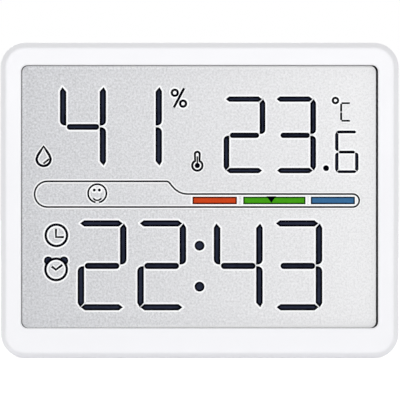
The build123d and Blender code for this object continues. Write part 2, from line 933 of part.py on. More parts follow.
# Each button: a pill-shaped cap with a retaining flange and a post, over its switch plunger
for name, place in button_places.items():
    with BuildPart() as plunger:
        extrude(
            disc(plunger_radius, [place], switch_back - plunger_tail),
            amount=-(plunger_tail + plunger_rise),
        )
    save(plunger, f"switch_plunger_{name}")

    with BuildPart() as cap:
        extrude(disc(post_radius, [place], plunger_end), amount=plunger_end - flange_front_depth)
        with BuildSketch(layer(flange_front_depth)):
            with Locations(place):
                SlotOverall(cap_length + 2 * flange_proud, cap_width + 2 * flange_proud)
        extrude(amount=-flange_thickness)
        with BuildSketch(layer(flange_back_depth)):
            with Locations(place):
                SlotOverall(cap_length, cap_width)
        extrude(amount=flange_back_depth - cap_face_depth)
        chamfer(cap.edges().group_by(Axis.Y)[-1], length=cap_edge)
    save(cap, f"button_{name}")

# Cells: the upper one points right, the lower one left
cell_y = cell_axis_depth - case_depth / 2
bay_end = bay_length / 2
nub_end = bay_end - contact_sheet - contact_dimple_proud - cell_end_gap / 2
shoulder_x = nub_end - cell_nub_length
tail_x = nub_end - cell_length
for name, side in (("upper", 1), ("lower", -1)):
    cell_plane = Plane((0, cell_y, bay_z + side * cell_pitch / 2))
    with BuildPart() as cell:
        with BuildSketch(cell_plane) as half_section:
            with BuildLine():
                Polyline(
                    (side * nub_end, 0),
                    (side * nub_end, cell_nub_radius),
                    (side * shoulder_x, cell_nub_radius),
                    (side * shoulder_x, cell_diameter / 2),
                    (side * tail_x, cell_diameter / 2),
                    (side * tail_x, cell_tail_radius),
                    (side * (tail_x + cell_tail_depth), cell_tail_radius),
                    (side * (tail_x + cell_tail_depth), 0),
                    close=True,
                )
            make_face()
            chamfer(half_section.vertices().group_by(Axis.Y)[-1], length=cell_edge)
        revolve(axis=Axis(cell_plane.origin, (1, 0, 0)))
    save(cell, f"battery_{name}")


def contact_plane(side, z):
    """The bay's end wall at one cell, facing into the bay."""
    return Plane((side * bay_end, cell_y, z), x_dir=(0, 0, 1), z_dir=(-side, 0, 0))


def contact_blade(side, z, rise):
    """A sheet metal blade flat against the end wall."""
    with BuildSketch(contact_plane(side, z)) as blade:
        RectangleRounded(rise, contact_height, contact_corner)
    return blade.sketch


def dimple_outline(side, z):
    """The round button that meets the nub of a cell."""
    with BuildSketch(contact_plane(side, z).offset(contact_sheet)) as dimple:
        Circle(contact_dimple_radius)
    return dimple.sketch


def spring_path(side, z):
    """The centre line of a conical spring that stands on a blade."""
    with BuildLine() as path:
        Helix(
            pitch=spring_pitch,
            height=spring_length - 2 * spring_wire_radius,
            radius=spring_base_radius,
            center=(side * (bay_end - contact_sheet), cell_y, z),
            direction=(-side, 0, 0),
            cone_angle=spring_cone_angle,
        )
    return path.line


def tab_outline(z):
    """The solder tab that leaves the bay through its right end wall."""
    with BuildSketch(layer(cell_axis_depth - tab_width / 2)) as tab:
        with Locations((bay_end + (tab_reach - contact_sheet) / 2, z)):
            Rectangle(tab_reach + contact_sheet, contact_sheet)
    return tab.sketch


upper_z = bay_z + cell_pitch / 2
lower_z = bay_z - cell_pitch / 2

# Positive terminal: blade, dimple and solder tab
with BuildPart() as contact_positive:
    extrude(contact_blade(1, upper_z, contact_width), amount=contact_sheet)
    extrude(dimple_outline(1, upper_z), amount=contact_dimple_proud, taper=dimple_taper)
    extrude(tab_outline(upper_z), amount=-tab_width)
save(contact_positive, "contact_positive")

# Negative terminal: blade, conical spring and solder tab
with BuildPart() as contact_negative:
    extrude(contact_blade(1, lower_z, contact_width), amount=contact_sheet)
    extrude(tab_outline(lower_z), amount=-tab_width)
    negative_path = spring_path(1, lower_z)
    with BuildSketch(Plane(negative_path @ 0, z_dir=negative_path % 0)):
        RegularPolygon(spring_wire_radius, spring_wire_sides)
    sweep(path=negative_path, is_frenet=True)
save(contact_negative, "contact_negative")

# Bridge at the other end: one blade with a dimple and a spring, which joins the two cells
with BuildPart() as contact_bridge:
    extrude(contact_blade(-1, bay_z, contact_width + cell_pitch), amount=contact_sheet)
    extrude(dimple_outline(-1, lower_z), amount=contact_dimple_proud, taper=dimple_taper)
    bridge_path = spring_path(-1, upper_z)
    with BuildSketch(Plane(bridge_path @ 0, z_dir=bridge_path % 0)):
        RegularPolygon(spring_wire_radius, spring_wire_sides)
    sweep(path=bridge_path, is_frenet=True)
save(contact_bridge, "contact_bridge")


def lead(points, bends):
    """An insulated lead: straight runs joined by tangent arcs."""
    with BuildPart() as tube:
        with BuildLine() as route:
            FilletPolyline(*points, radius=bends)
        with BuildSketch(Plane(route.line @ 0, z_dir=route.line % 0)):
            RegularPolygon(lead_radius, lead_sides)
        sweep()
    return tube


# Battery leads run from the solder tabs down to the top edge of the board
tab_end_x = bay_end + tab_reach
board_y = pcb_back - case_depth / 2
pad_z = pcb_top - lead_pad_inset
for name, z, run in (("red", upper_z, lead_drop + lead_spacing), ("black", lower_z, lead_drop)):
    drop_x = tab_end_x + run
    battery_lead = lead(
        [
            (tab_end_x, cell_y, z),
            (drop_x, cell_y, z),
            (drop_x, cell_y, pad_z),
            (drop_x, board_y, pad_z),
        ],
        [lead_bend, lead_bend],
    )
    save(battery_lead, f"battery_lead_{name}")

# Buzzer leads rise from the brass and the ceramic, run sideways and end on the board
buzzer_lead_x = buzzer_x - buzzer_lead_span
buzzer_lead_y = pcb_back + lead_stand_off - case_depth / 2
with BuildPart() as buzzer_leads:
    for reach, depth, rise in (
        (buzzer_rim_solder, buzzer_depth, buzzer_rise + lead_spacing / 2),
        (buzzer_face_solder, buzzer_depth - buzzer_ceramic_sheet, buzzer_rise - lead_spacing / 2),
    ):
        start_x = buzzer_x - reach
        start_y = depth - case_depth / 2
        buzzer_lead = lead(
            [
                (start_x, start_y, rise),
                (start_x, buzzer_lead_y, rise),
                (buzzer_lead_x, buzzer_lead_y, rise),
                (buzzer_lead_x, board_y, rise),
            ],
            [lead_bend, lead_bend],
        )
        add(buzzer_lead.part)
save(buzzer_leads, "buzzer_leads")

# Battery door: skin, two hooked tongues at the top, a sprung latch arm and a thumb grip
door_face = case_depth - door_skin
tongue_back = rear_inner_depth - door_tongue_gap
tongue_front = tongue_back - door_tongue_thickness
with BuildPart() as battery_door:
    extrude(panel(door_length, door_height, door_corner, 0, door_z, door_face), amount=-door_skin)
    chamfer(battery_door.edges().group_by(Axis.Y)[-1], length=door_edge)
    with BuildSketch(layer(tongue_front)):
        with Locations(*[(x, z - door_tongue_root / 2) for x, z in tongue_places]):
            Rectangle(door_tongue_width, door_tongue_root)
    extrude(amount=tongue_front - door_face)
    hook_shift = (door_tongue_reach - door_tongue_root) / 2
    with BuildSketch(layer(tongue_front)):
        with Locations(*[(x, z + hook_shift) for x, z in tongue_places]):
            Rectangle(door_tongue_width, door_tongue_reach + door_tongue_root)
    extrude(amount=-door_tongue_thickness)
    # Stiffening rib between the cells
    extrude(
        bar(cradle_rib_length, door_rib_width, 0, bay_z, door_face - door_rib_height),
        amount=-door_rib_height,
    )
    # Slits that free the latch arm, and its nose
    slit_z = door_bottom + latch_arm / 2
    with BuildSketch(layer(door_face)):
        with Locations(*[(side * latch_width / 2, slit_z) for side in (-1, 1)]):
            Rectangle(latch_slot, latch_arm)
    extrude(amount=-door_skin, mode=Mode.SUBTRACT)
    with BuildSketch(layer(door_face + door_edge)):
        with Locations((0, door_bottom)):
            Rectangle(latch_nose_width, 2 * latch_nose)
    extrude(amount=2 * door_edge - door_skin)
    # Thumb grip: a shallow dish with raised bars
    grip_z = door_bottom + grip_from_edge
    grip_corner = grip_height / 2 - grip_depth
    extrude(
        panel(grip_width, grip_height, grip_corner, 0, grip_z, case_depth - grip_depth),
        amount=-grip_depth,
        mode=Mode.SUBTRACT,
    )
    with BuildSketch(layer(case_depth - grip_depth)):
        with Locations((0, grip_z)):
            with GridLocations(0, grip_rib_pitch, 1, grip_rib_count):
                SlotOverall(grip_width - 2 * grip_rib_pitch, grip_rib_width)
    extrude(amount=-grip_depth)
save(battery_door, "battery_door")

# Fold-out stand: a ribbed leg with a rounded top that turns on two moulded stubs
hinge_y = hinge_depth - case_depth / 2
stand_front = hinge_depth - stand_thickness / 2
pocket_width = (stand_width - 3 * stand_rim) / 2
pocket_top = hinge_z - stand_thickness / 2 - stand_rim
pocket_bottom = stand_foot + stand_rim
with BuildPart() as kickstand:
    with BuildSketch(Plane.YZ.offset(-stand_width / 2)):
        with Locations((hinge_y, hinge_z)):
            Circle(stand_thickness / 2)
        with Locations((hinge_y, (hinge_z + stand_foot) / 2)):
            Rectangle(stand_thickness, hinge_z - stand_foot)
    extrude(amount=stand_width)
    fillet(kickstand.edges().filter_by(Axis.Y).group_by(Axis.Z)[0], radius=stand_corner)
    foot_edges = kickstand.faces().sort_by(Axis.Z)[0].edges()
    chamfer(foot_edges.group_by(Axis.Y)[-1], length=stand_foot_edge)
    pocket_x = (pocket_width + stand_rim) / 2
    with BuildSketch(layer(stand_front)):
        with Locations(*[(side * pocket_x, (pocket_top + pocket_bottom) / 2) for side in (-1, 1)]):
            RectangleRounded(pocket_width, pocket_top - pocket_bottom, stand_pocket_round)
    extrude(amount=stand_skin - stand_thickness, mode=Mode.SUBTRACT)
    with Locations(Location((0, hinge_y, hinge_z), (0, 90, 0))):
        Cylinder(stub_radius, stand_width + 2 * stub_length)
save(kickstand, "kickstand")
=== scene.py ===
# %% [markdown]
# This notebook dresses a small white clock that also reads the room's warmth and damp. Its
# housing, window, buttons, door and stand come from the CAD model, which is loaded first and
# stays as it is. What is added here are the finishes, and the thin marks of the display. The
# other way would be to model the housing again in Blender, but then it could drift away from
# the sizes that the moving pieces need.

# %% Load the frame
import math

import bmesh
import bpy
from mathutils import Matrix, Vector


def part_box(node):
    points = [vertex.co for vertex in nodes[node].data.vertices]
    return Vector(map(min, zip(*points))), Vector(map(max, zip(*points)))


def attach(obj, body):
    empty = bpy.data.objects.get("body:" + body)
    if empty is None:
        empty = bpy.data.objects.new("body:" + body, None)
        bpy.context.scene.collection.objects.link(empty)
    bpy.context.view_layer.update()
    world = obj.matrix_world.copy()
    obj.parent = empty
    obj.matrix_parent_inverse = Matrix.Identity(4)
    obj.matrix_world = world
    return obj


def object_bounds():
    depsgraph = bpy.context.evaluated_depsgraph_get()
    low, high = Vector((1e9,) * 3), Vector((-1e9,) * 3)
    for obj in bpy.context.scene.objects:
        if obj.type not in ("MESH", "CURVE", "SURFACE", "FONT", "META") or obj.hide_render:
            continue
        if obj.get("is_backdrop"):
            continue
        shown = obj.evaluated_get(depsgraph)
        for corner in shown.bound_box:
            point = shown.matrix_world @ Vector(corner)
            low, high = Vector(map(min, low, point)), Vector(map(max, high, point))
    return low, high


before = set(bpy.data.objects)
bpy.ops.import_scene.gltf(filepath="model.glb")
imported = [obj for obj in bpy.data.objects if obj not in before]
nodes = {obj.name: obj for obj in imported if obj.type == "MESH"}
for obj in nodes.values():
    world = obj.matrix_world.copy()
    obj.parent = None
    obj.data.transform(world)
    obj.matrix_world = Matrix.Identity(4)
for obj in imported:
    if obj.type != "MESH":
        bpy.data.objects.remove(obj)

MM = 0.001
upright = (math.radians(90), 0, 0)
cad_low, cad_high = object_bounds()


def mm(*values):
    """Several lengths told in millimetres."""
    return tuple(value * MM for value in values)


print("pieces in the frame:", len(nodes))
print("size in mm:", [round(side / MM, 1) for side in cad_high - cad_low])

# %% [markdown]
# The camera stands straight in front of the clock, as in the photo, where no side of the case
# shows. A short lens would bend the thin frame round the window, and an orthographic camera
# would show no depth at all. A long lens from far away keeps the bezel even and still lets the
# recess of the window be seen.

# %% Camera
camera_distance, silhouette_depth, view_width = mm(900, 2.8, 110.6)
camera_x, camera_height = mm(0.09, 43.73)
sensor_width = 36.0
nearest_seen, farthest_seen = 10 * MM, 20.0
camera_data = bpy.data.cameras.new("camera")
camera_data.sensor_width = sensor_width
camera_data.lens = sensor_width * (camera_distance + silhouette_depth) / view_width
camera_data.clip_start = nearest_seen
camera_data.clip_end = farthest_seen
camera = bpy.data.objects.new("camera", camera_data)
bpy.context.scene.collection.objects.link(camera)
camera.location = (camera_x, cad_low.y - camera_distance, camera_height)
camera.rotation_euler = upright
bpy.context.scene.camera = camera
print("lens in mm:", round(camera_data.lens))

# %% [markdown]
# The light and every finish are built from the same few nodes, so small helpers come first. One
# adds a node and fills its sockets, another starts a material with its shader and its object
# coordinates. Object coordinates are lengths in the clock itself, so a grain of 0.2 mm is 0.2 mm
# on every piece. Image textures could do it too, but they need files and unwrapping.


# %% Node helpers
white = (1, 1, 1, 1)
noise_low, noise_high = 0.3, 0.7


def add(tree, kind, inputs=None, **settings):
    """Add a shader node, set its options, and link or fill its inputs."""
    made = tree.nodes.new("ShaderNode" + kind)
    for name, value in settings.items():
        setattr(made, name, value)
    for name, value in (inputs or {}).items():
        if isinstance(value, bpy.types.NodeSocket):
            tree.links.new(value, made.inputs[name])
        else:
            made.inputs[name].default_value = value
    return made


def bare_material(name):
    """A material with only its output and its object coordinates."""
    material = bpy.data.materials.new(name)
    material.use_nodes = True
    tree = material.node_tree
    tree.nodes.clear()
    output = add(tree, "OutputMaterial")
    return material, tree, output, add(tree, "TexCoord").outputs["Object"]


def start_material(name, roughness, **values):
    """A material with a Principled shader and object coordinates."""
    material, tree, output, place = bare_material(name)
    shader = add(tree, "BsdfPrincipled", {"Roughness": roughness})
    for socket, value in values.items():
        shader.inputs[socket.replace("_", " ")].default_value = value
    tree.links.new(shader.outputs["BSDF"], output.inputs["Surface"])
    return material, tree, shader, place


def noise(tree, place, size, detail=2.0):
    """Noise whose spots are about one size across, in metres."""
    made = add(tree, "TexNoise", {"Vector": place, "Scale": 1 / size, "Detail": detail})
    return made.outputs["Fac"]


def between(tree, value, low, high, start=0.0, end=1.0):
    """Map a value from one range to another, and hold it at the ends."""
    sockets = {"Value": value, "From Min": start, "From Max": end, "To Min": low, "To Max": high}
    return add(tree, "MapRange", sockets).outputs["Result"]


def blend_colours(tree, factor, first, second):
    """A colour between two others."""
    return add(tree, "Mix", {0: factor, 6: first, 7: second}, data_type="RGBA").outputs[2]


def shade(colour, factor):
    """A darker or lighter version of a colour."""
    return tuple(min(1.0, part * factor) for part in colour[:3]) + (1.0,)


def mottled(tree, pattern, colour, dark, light):
    """One colour that a pattern makes darker and lighter."""
    return blend_colours(tree, pattern, shade(colour, dark), shade(colour, light))


def link(tree, value, shader, socket):
    """Join a value to one input of the shader."""
    tree.links.new(value, shader.inputs[socket])


def emboss(tree, shader, height, distance, strength=1.0):
    """Let a height pattern catch the light."""
    sockets = {"Height": height, "Distance": distance, "Strength": strength}
    link(tree, add(tree, "Bump", sockets).outputs["Normal"], shader, "Normal")


def calculate(tree, operation, *values):
    """The result of a Math node."""
    return add(tree, "Math", dict(enumerate(values)), operation=operation).outputs[0]


def dress(tree, shader, colour, sheen, height, depth):
    """Give a shader its colour, its sheen if that changes, and its relief."""
    link(tree, colour, shader, "Base Color")
    if sheen is not None:
        link(tree, sheen, shader, "Roughness")
    emboss(tree, shader, height, depth)


def axis_of(tree, place, axis):
    """One coordinate of a place."""
    return add(tree, "SeparateXYZ", {"Vector": place}).outputs[axis]


def paint(names, material):
    """Give CAD pieces a finish in every slot they have."""
    for name in names:
        for slot in nodes[name].material_slots:
            slot.material = material


print("node helpers ready")

# %% [markdown]
# A white product is lit softly from all round, with a large softbox in front and one behind.
# Then its face and its back read as white, and its sloped edges fall off to a light grey. One
# hard lamp would give the edges black shadows. The background is white because the world is
# white for camera rays and in reflections, not because more light falls on the clock.

# %% Light
sky_light = 0.54
sky_seen = 1.0
box_size = 900 * MM
softboxes = {
    "front": (9.3, Vector((60 * MM, -1300 * MM, 150 * MM))),
    "rear": (6.0, Vector((-250 * MM, 1300 * MM, 520 * MM))),
}


def seen_or_mirrored(tree):
    """A value of 1 for camera, glossy and transmission rays, and 0 for the rest."""
    rays = add(tree, "LightPath").outputs
    mirrored = calculate(tree, "MAXIMUM", rays["Is Camera Ray"], rays["Is Glossy Ray"])
    return calculate(tree, "MAXIMUM", mirrored, rays["Is Transmission Ray"])


world = bpy.data.worlds.new("soft studio")
bpy.context.scene.world = world
world.use_nodes = True
sky = world.node_tree
sky.nodes.clear()
sky_dim = add(sky, "Background", {"Color": white, "Strength": sky_light}).outputs[0]
sky_bright = add(sky, "Background", {"Color": white, "Strength": sky_seen}).outputs[0]
sky_mix = add(sky, "MixShader", {0: seen_or_mirrored(sky), 1: sky_dim, 2: sky_bright})
add(sky, "OutputWorld", {"Surface": sky_mix.outputs[0]})

for side, (watts, box_place) in softboxes.items():
    box_data = bpy.data.lights.new(f"{side} softbox", "AREA")
    box_data.energy = watts
    box_data.size = box_size
    softbox = bpy.data.objects.new(f"{side} softbox", box_data)
    bpy.context.scene.collection.objects.link(softbox)
    softbox.location = box_place
    aim = Vector((0, 0, camera_height)) - box_place
    softbox.rotation_euler = aim.to_track_quat("-Z", "Y").to_euler()
    print(side, "softbox watts:", watts)
bpy.context.scene.view_settings.view_transform = "Standard"
print("sky light:", sky_light)

# %% [markdown]
# The shell, the door and the stand are white ABS from a mould. The mould is lightly sparked, so
# the skin has a very fine, shallow grain and a satin sheen, and the plastic is not quite even in
# tone. A bump from two sizes of noise gives the grain without adding faces.


# %% Moulded plastic
broad_to_fine = 60
sheen_change = 0.05
tone_change = 0.985


def moulded_plastic(name, colour, roughness, grain, depth):
    """Plastic from a textured mould: fine grain, slightly uneven tone and sheen."""
    material, tree, shader, place = start_material(name, roughness)
    fine = noise(tree, place, grain)
    broad = noise(tree, place, grain * broad_to_fine)
    height = calculate(tree, "ADD", fine, broad)
    tone = mottled(tree, broad, colour, tone_change, 1.0)
    low, high = roughness - sheen_change, roughness + sheen_change
    sheen = between(tree, broad, low, high, noise_low, noise_high)
    dress(tree, shader, tone, sheen, height, depth)
    return material


white_tone = (0.925, 0.925, 0.952)
key_names = ["mode", "up", "down", "unit"]
rear_pieces = ["rear_cover", "battery_door", "kickstand"]
cap_pieces = [f"button_{key_name}" for key_name in key_names]
plunger_pieces = [f"switch_plunger_{key_name}" for key_name in key_names]
plastics = [
    ("shell white plastic", white_tone, 0.42, 0.22, 0.004, ["front_frame"]),
    ("rear white plastic", white_tone, 0.5, 0.3, 0.009, rear_pieces),
    ("carrier plastic", (0.86, 0.86, 0.85), 0.55, 0.4, 0.01, ["lcd_bracket"]),
    ("button plastic", (0.62, 0.63, 0.65), 0.4, 0.18, 0.005, cap_pieces),
    ("sensor cage plastic", (0.8, 0.81, 0.81), 0.5, 0.2, 0.005, ["humidity_sensor"]),
    ("plunger plastic", (0.04, 0.04, 0.045), 0.45, 0.2, 0.004, plunger_pieces),
]
for name, colour, roughness, grain, depth, pieces in plastics:
    paint(pieces, moulded_plastic(name, colour, roughness, grain * MM, depth * MM))
print("plastics:", len(plastics))

# %% [markdown]
# The window is a clear sheet with a coat against reflections. A full glass shader would bend
# and dim the light on the display and make the render slow and noisy. A sheet this thin only
# passes light and mirrors a little of it, so a transparent shader and a glossy one are mixed by
# Fresnel, which mirrors more when the window is seen from the side. The coat is told by a low
# index, and by a floor: what Fresnel gives straight on is taken off, so the dark marks behind the
# window stay dark from the front.


# %% Clear sheets
coat_floor = 0.0015
coated_index = 1.07
window_tint = (0.995, 0.995, 0.995, 1)
window_roughness = 0.03
smear_size = 14 * MM
smear_gain = 2.5
smear_low, smear_high = 0.4, 0.7
electrode_scale, electrode_waver = 420.0, 0.4
electrode_height = 0.002 * MM


def coated_window():
    """A thin clear sheet that mirrors nothing straight on, and more from the side."""
    material, tree, output, place = bare_material("coated window")
    passing = add(tree, "BsdfTransparent", {"Color": window_tint})
    spots = noise(tree, place, smear_size)
    sharp, dull = window_roughness, window_roughness * smear_gain
    smear = between(tree, spots, sharp, dull, smear_low, smear_high)
    mirror = add(tree, "BsdfGlossy", {"Roughness": smear})
    fresnel = add(tree, "Fresnel", {"IOR": coated_index}).outputs[0]
    seen = between(tree, fresnel, 0.0, 1.0, coat_floor, 1.0)
    mixed = add(tree, "MixShader", {0: seen, 1: passing.outputs[0], 2: mirror.outputs[0]})
    tree.links.new(mixed.outputs[0], output.inputs["Surface"])
    return material


paint(["display_lens"], coated_window())


def display_glass():
    """Thin display glass with fine clear electrodes on it."""
    material, tree, shader, place = start_material("display glass", 0.08, IOR=1.5, Alpha=0.35)
    sockets = {"Vector": place, "Scale": electrode_scale, "Distortion": electrode_waver}
    tracks = add(tree, "TexWave", sockets).outputs["Fac"]
    tone = blend_colours(tree, tracks, (0.72, 0.78, 0.76, 1), (0.8, 0.85, 0.84, 1))
    dress(tree, shader, tone, None, tracks, electrode_height)
    return material


paint(["lcd_front_glass", "lcd_rear_glass"], display_glass())
print("clear sheets ready")

# %% [markdown]
# Behind the window lies a silver-grey film with a fine sparkle of grain that is stronger on the
# left. Its colour runs from darker on the left to lighter on the right, and that is a painted
# sheen:
# the reflection of light from the right, put into the film's tone. It could be a photo of such a
# film, but a tone that runs along X plus one layer of fine noise says the same in a few nodes,
# and follows the film's real size. In the photo the film isn't darker beside the window's lip,
# which shades it here, so a strip along each edge of the window is painted paler: painted light
# against that shade.

# %% Display film
film_low, film_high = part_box("lcd_polariser")
# painted sheen: the film darker on the left and lighter on the right, from light on the right
film_left_painted_sheen = (0.690, 0.697, 0.722, 1)
film_right_painted_sheen = (0.935, 0.935, 0.945, 1)
film_limit = (0.97, 0.97, 0.98)
film_grain, grain_height, lip_cover, painted_light_reach = mm(0.55, 0.003, 1.5, 1.3)
grain_left, grain_right = 0.80, 0.36
# painted light: how much paler the film is painted at the window's edge, against the lip's shade
painted_light_gain = 1.35
lens_low, lens_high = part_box("display_lens")


def silver_film():
    """Grey film: painted sheen along X, fine grain, and painted light beside the window's lip."""
    name, roughness = "silver grey film", 0.55
    material, tree, shader, place = start_material(name, roughness, Specular_IOR_Level=0.1)
    across = between(tree, axis_of(tree, place, "X"), 0.0, 1.0, film_low.x, film_high.x)
    spots = noise(tree, place, film_grain, 1.0)
    weight = between(tree, across, grain_left, grain_right)
    centred = calculate(tree, "SUBTRACT", spots, 0.5)
    grain = calculate(tree, "MULTIPLY_ADD", centred, weight, 1.0)
    # painted sheen, from darker on the left to lighter on the right
    tone = blend_colours(tree, across, film_left_painted_sheen, film_right_painted_sheen)
    grained = add(tree, "VectorMath", {0: tone, "Scale": grain}, operation="SCALE").outputs[0]
    # painted light: paler towards each edge of the window, where the lip shades the film
    painted_light_mask = 0.0
    for axis in "XZ":
        along = axis_of(tree, place, axis)
        low = getattr(lens_low, axis.lower()) + lip_cover
        high = getattr(lens_high, axis.lower()) - lip_cover
        for edge, inner in ((low, low + painted_light_reach), (high, high - painted_light_reach)):
            close = between(tree, along, 1.0, 0.0, edge, inner)
            painted_light_mask = calculate(tree, "MAXIMUM", painted_light_mask, close)
    lift = between(tree, painted_light_mask, 1.0, painted_light_gain)
    lifted = add(tree, "VectorMath", {0: grained, "Scale": lift}, operation="SCALE").outputs[0]
    capped = add(tree, "VectorMath", {0: lifted, 1: film_limit}, operation="MINIMUM").outputs[0]
    dress(tree, shader, capped, None, spots, grain_height)
    return material


paint(["lcd_polariser"], silver_film())
print("film width in mm:", round((film_high.x - film_low.x) / MM, 1))

# %% [markdown]
# A strip of black foam seals the film against the window, and its edge shows as a thin dark line
# on some sides. Foam is matt and full of small cells. Voronoi cells pushed into the surface look
# like that, where plain noise would look like stone. The rubber's stripes are waves, which repeat
# every 0.31 at scale 1, so a scale of 1 over 6.2 pitches makes a stripe about one pitch wide.


# %% Foam and rubber
wave_stretch = 6.2
stripe_height = 0.01 * MM
foam_cell, foam_depth, stripe_pitch = mm(0.25, 0.05, 0.3)


def cellular(name, colour, cell, depth):
    """Foam or rubber with small round cells."""
    material, tree, shader, place = start_material(name, 0.9, Specular_IOR_Level=0.2)
    cells = add(tree, "TexVoronoi", {"Vector": place, "Scale": 1 / cell}).outputs["Distance"]
    dress(tree, shader, mottled(tree, cells, colour, 0.6, 1.3), None, cells, depth)
    return material


def striped_rubber(name, dark, light, pitch):
    """Rubber with alternating conductive layers along X."""
    material, tree, shader, place = start_material(name, 0.7)
    sockets = {"Vector": place, "Scale": 1 / (pitch * wave_stretch)}
    layers = add(tree, "TexWave", sockets, wave_profile="SIN").outputs["Fac"]
    dress(tree, shader, blend_colours(tree, layers, dark, light), None, layers, stripe_height)
    return material


rubber_dark, rubber_light = (0.03, 0.03, 0.03, 1), (0.5, 0.36, 0.34, 1)
contact_rubber = striped_rubber("contact rubber", rubber_dark, rubber_light, stripe_pitch)
paint(["lcd_gasket"], cellular("black foam", (0.012, 0.012, 0.014), foam_cell, foam_depth))
paint(["zebra_strip"], contact_rubber)
print("foam and rubber ready")

# %% [markdown]
# The metal pieces are a drawn can, small screws, spring contacts, a reflecting film and a brass
# disc. They differ in colour, in how rough they are and in the direction of their fine marks.
# Noise that is stretched along one axis gives those marks, and costs less than anisotropy.


# %% Metals
metal_relief = 0.004 * MM


def metal(name, colour, roughness, grain, stretch):
    """Metal with fine marks drawn out along one axis."""
    material, tree, shader, place = start_material(name, roughness, Metallic=1.0)
    drawn = add(tree, "Mapping", {"Vector": place, "Scale": stretch}).outputs["Vector"]
    marks = noise(tree, drawn, grain, 3.0)
    tone = mottled(tree, marks, colour, 0.82, 1.05)
    low, high = roughness - 0.06, roughness + 0.1
    sheen = between(tree, marks, low, high, noise_low, noise_high)
    dress(tree, shader, tone, sheen, marks, metal_relief)
    return material


contacts = ["contact_positive", "contact_negative", "contact_bridge"]
metals = [
    ("nickel spring steel", (0.72, 0.70, 0.66), 0.28, 0.5, (1, 1, 0.15), contacts),
    ("zinc screw", (0.62, 0.63, 0.66), 0.35, 0.4, (1, 0.3, 1), ["pcb_screws"]),
    ("drawn can", (0.7, 0.7, 0.7), 0.22, 0.4, (1, 1, 0.1), ["clock_crystal"]),
    ("silver reflector", (0.82, 0.82, 0.83), 0.4, 0.8, (0.2, 1, 1), ["lcd_reflector"]),
]
for name, colour, roughness, grain, stretch, pieces in metals:
    paint(pieces, metal(name, colour, roughness, grain * MM, stretch))
buzzer_low, buzzer_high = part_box("buzzer_disc")
buzzer_middle = (buzzer_low + buzzer_high) / 2
ceramic_radius, ceramic_blend, brass_spots = mm(7.0, 0.1, 1.2)


def buzzer_finish():
    """Brass with a fired silver face in the middle."""
    material, tree, shader, place = start_material("buzzer brass", 0.35, Metallic=1.0)
    sockets = {"Vector": place, "Location": -buzzer_middle}
    shifted = add(tree, "Mapping", sockets).outputs["Vector"]
    flat = add(tree, "VectorMath", {0: shifted, 1: (1, 0, 1)}, operation="MULTIPLY").outputs[0]
    reach = add(tree, "VectorMath", {0: flat}, operation="LENGTH").outputs["Value"]
    face = between(tree, reach, 1.0, 0.0, ceramic_radius, ceramic_radius + ceramic_blend)
    spots = noise(tree, place, brass_spots)
    brass = blend_colours(tree, spots, (0.70, 0.50, 0.22, 1), (0.82, 0.63, 0.32, 1))
    tone = blend_colours(tree, face, brass, (0.78, 0.78, 0.76, 1))
    dress(tree, shader, tone, between(tree, spots, 0.28, 0.42), spots, metal_relief)
    return material


paint(["buzzer_disc"], buzzer_finish())
print("metals:", len(metals) + 1)

# %% [markdown]
# The circuit board is green lacquer over copper tracks, with black epoxy over the chip, brown
# ceramic blocks with tinned ends, and moulded switches under a thin steel cover. All of it lies
# inside the case, but it is seen when the part is taken apart, so each piece has its own look.

# %% Board and its parts
pcb_low, pcb_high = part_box("main_pcb")
capacitor_low, capacitor_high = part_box("capacitors")
switch_low, switch_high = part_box("switch_bodies")
capacitor_end, switch_cover = mm(0.6, 0.35)
lacquer_spots, track_height = mm(1.5, 0.03)
resin_waves, resin_depth = mm(3, 0.05)
block_grain, block_depth = mm(0.3, 0.01)
band_blend = 1.05
track_scale, track_width, track_bias = 55.0, 0.012, -0.3


def solder_mask():
    """Green lacquer with copper tracks that show as slightly raised, lighter lines."""
    material, tree, shader, place = start_material("green solder mask", 0.3)
    turned = add(tree, "Mapping", {"Vector": place, "Rotation": upright})
    sockets = {"Scale": track_scale, "Mortar Size": track_width, "Bias": track_bias}
    sockets["Vector"] = turned.outputs["Vector"]
    tracks = add(tree, "TexBrick", sockets, offset_frequency=3).outputs["Fac"]
    speckle = noise(tree, place, lacquer_spots)
    lacquer = blend_colours(tree, speckle, (0.010, 0.10, 0.035, 1), (0.016, 0.14, 0.05, 1))
    tone = blend_colours(tree, tracks, lacquer, (0.05, 0.26, 0.10, 1))
    dress(tree, shader, tone, None, tracks, track_height)
    return material


def epoxy(name, colour):
    """Poured resin: glossy, with a slightly wavy skin."""
    material, tree, shader, place = start_material(name, 0.22)
    waves = noise(tree, place, resin_waves)
    tone = mottled(tree, waves, colour, 0.7, 1.3)
    dress(tree, shader, tone, between(tree, waves, 0.16, 0.34), waves, resin_depth)
    return material


def end_bands(name, axis, low, high, band, body, end):
    """A block whose two ends along one axis are tinned or covered."""
    material, tree, shader, place = start_material(name, 0.45)
    along = axis_of(tree, place, axis)
    near_low = between(tree, along, 1.0, 0.0, low + band, low + band * band_blend)
    near_high = between(tree, along, 0.0, 1.0, high - band * band_blend, high - band)
    ends = calculate(tree, "MAXIMUM", near_low, near_high)
    spots = noise(tree, place, block_grain)
    core = mottled(tree, spots, body, 0.8, 1.15)
    link(tree, ends, shader, "Metallic")
    dress(tree, shader, blend_colours(tree, ends, core, end), None, spots, block_depth)
    return material


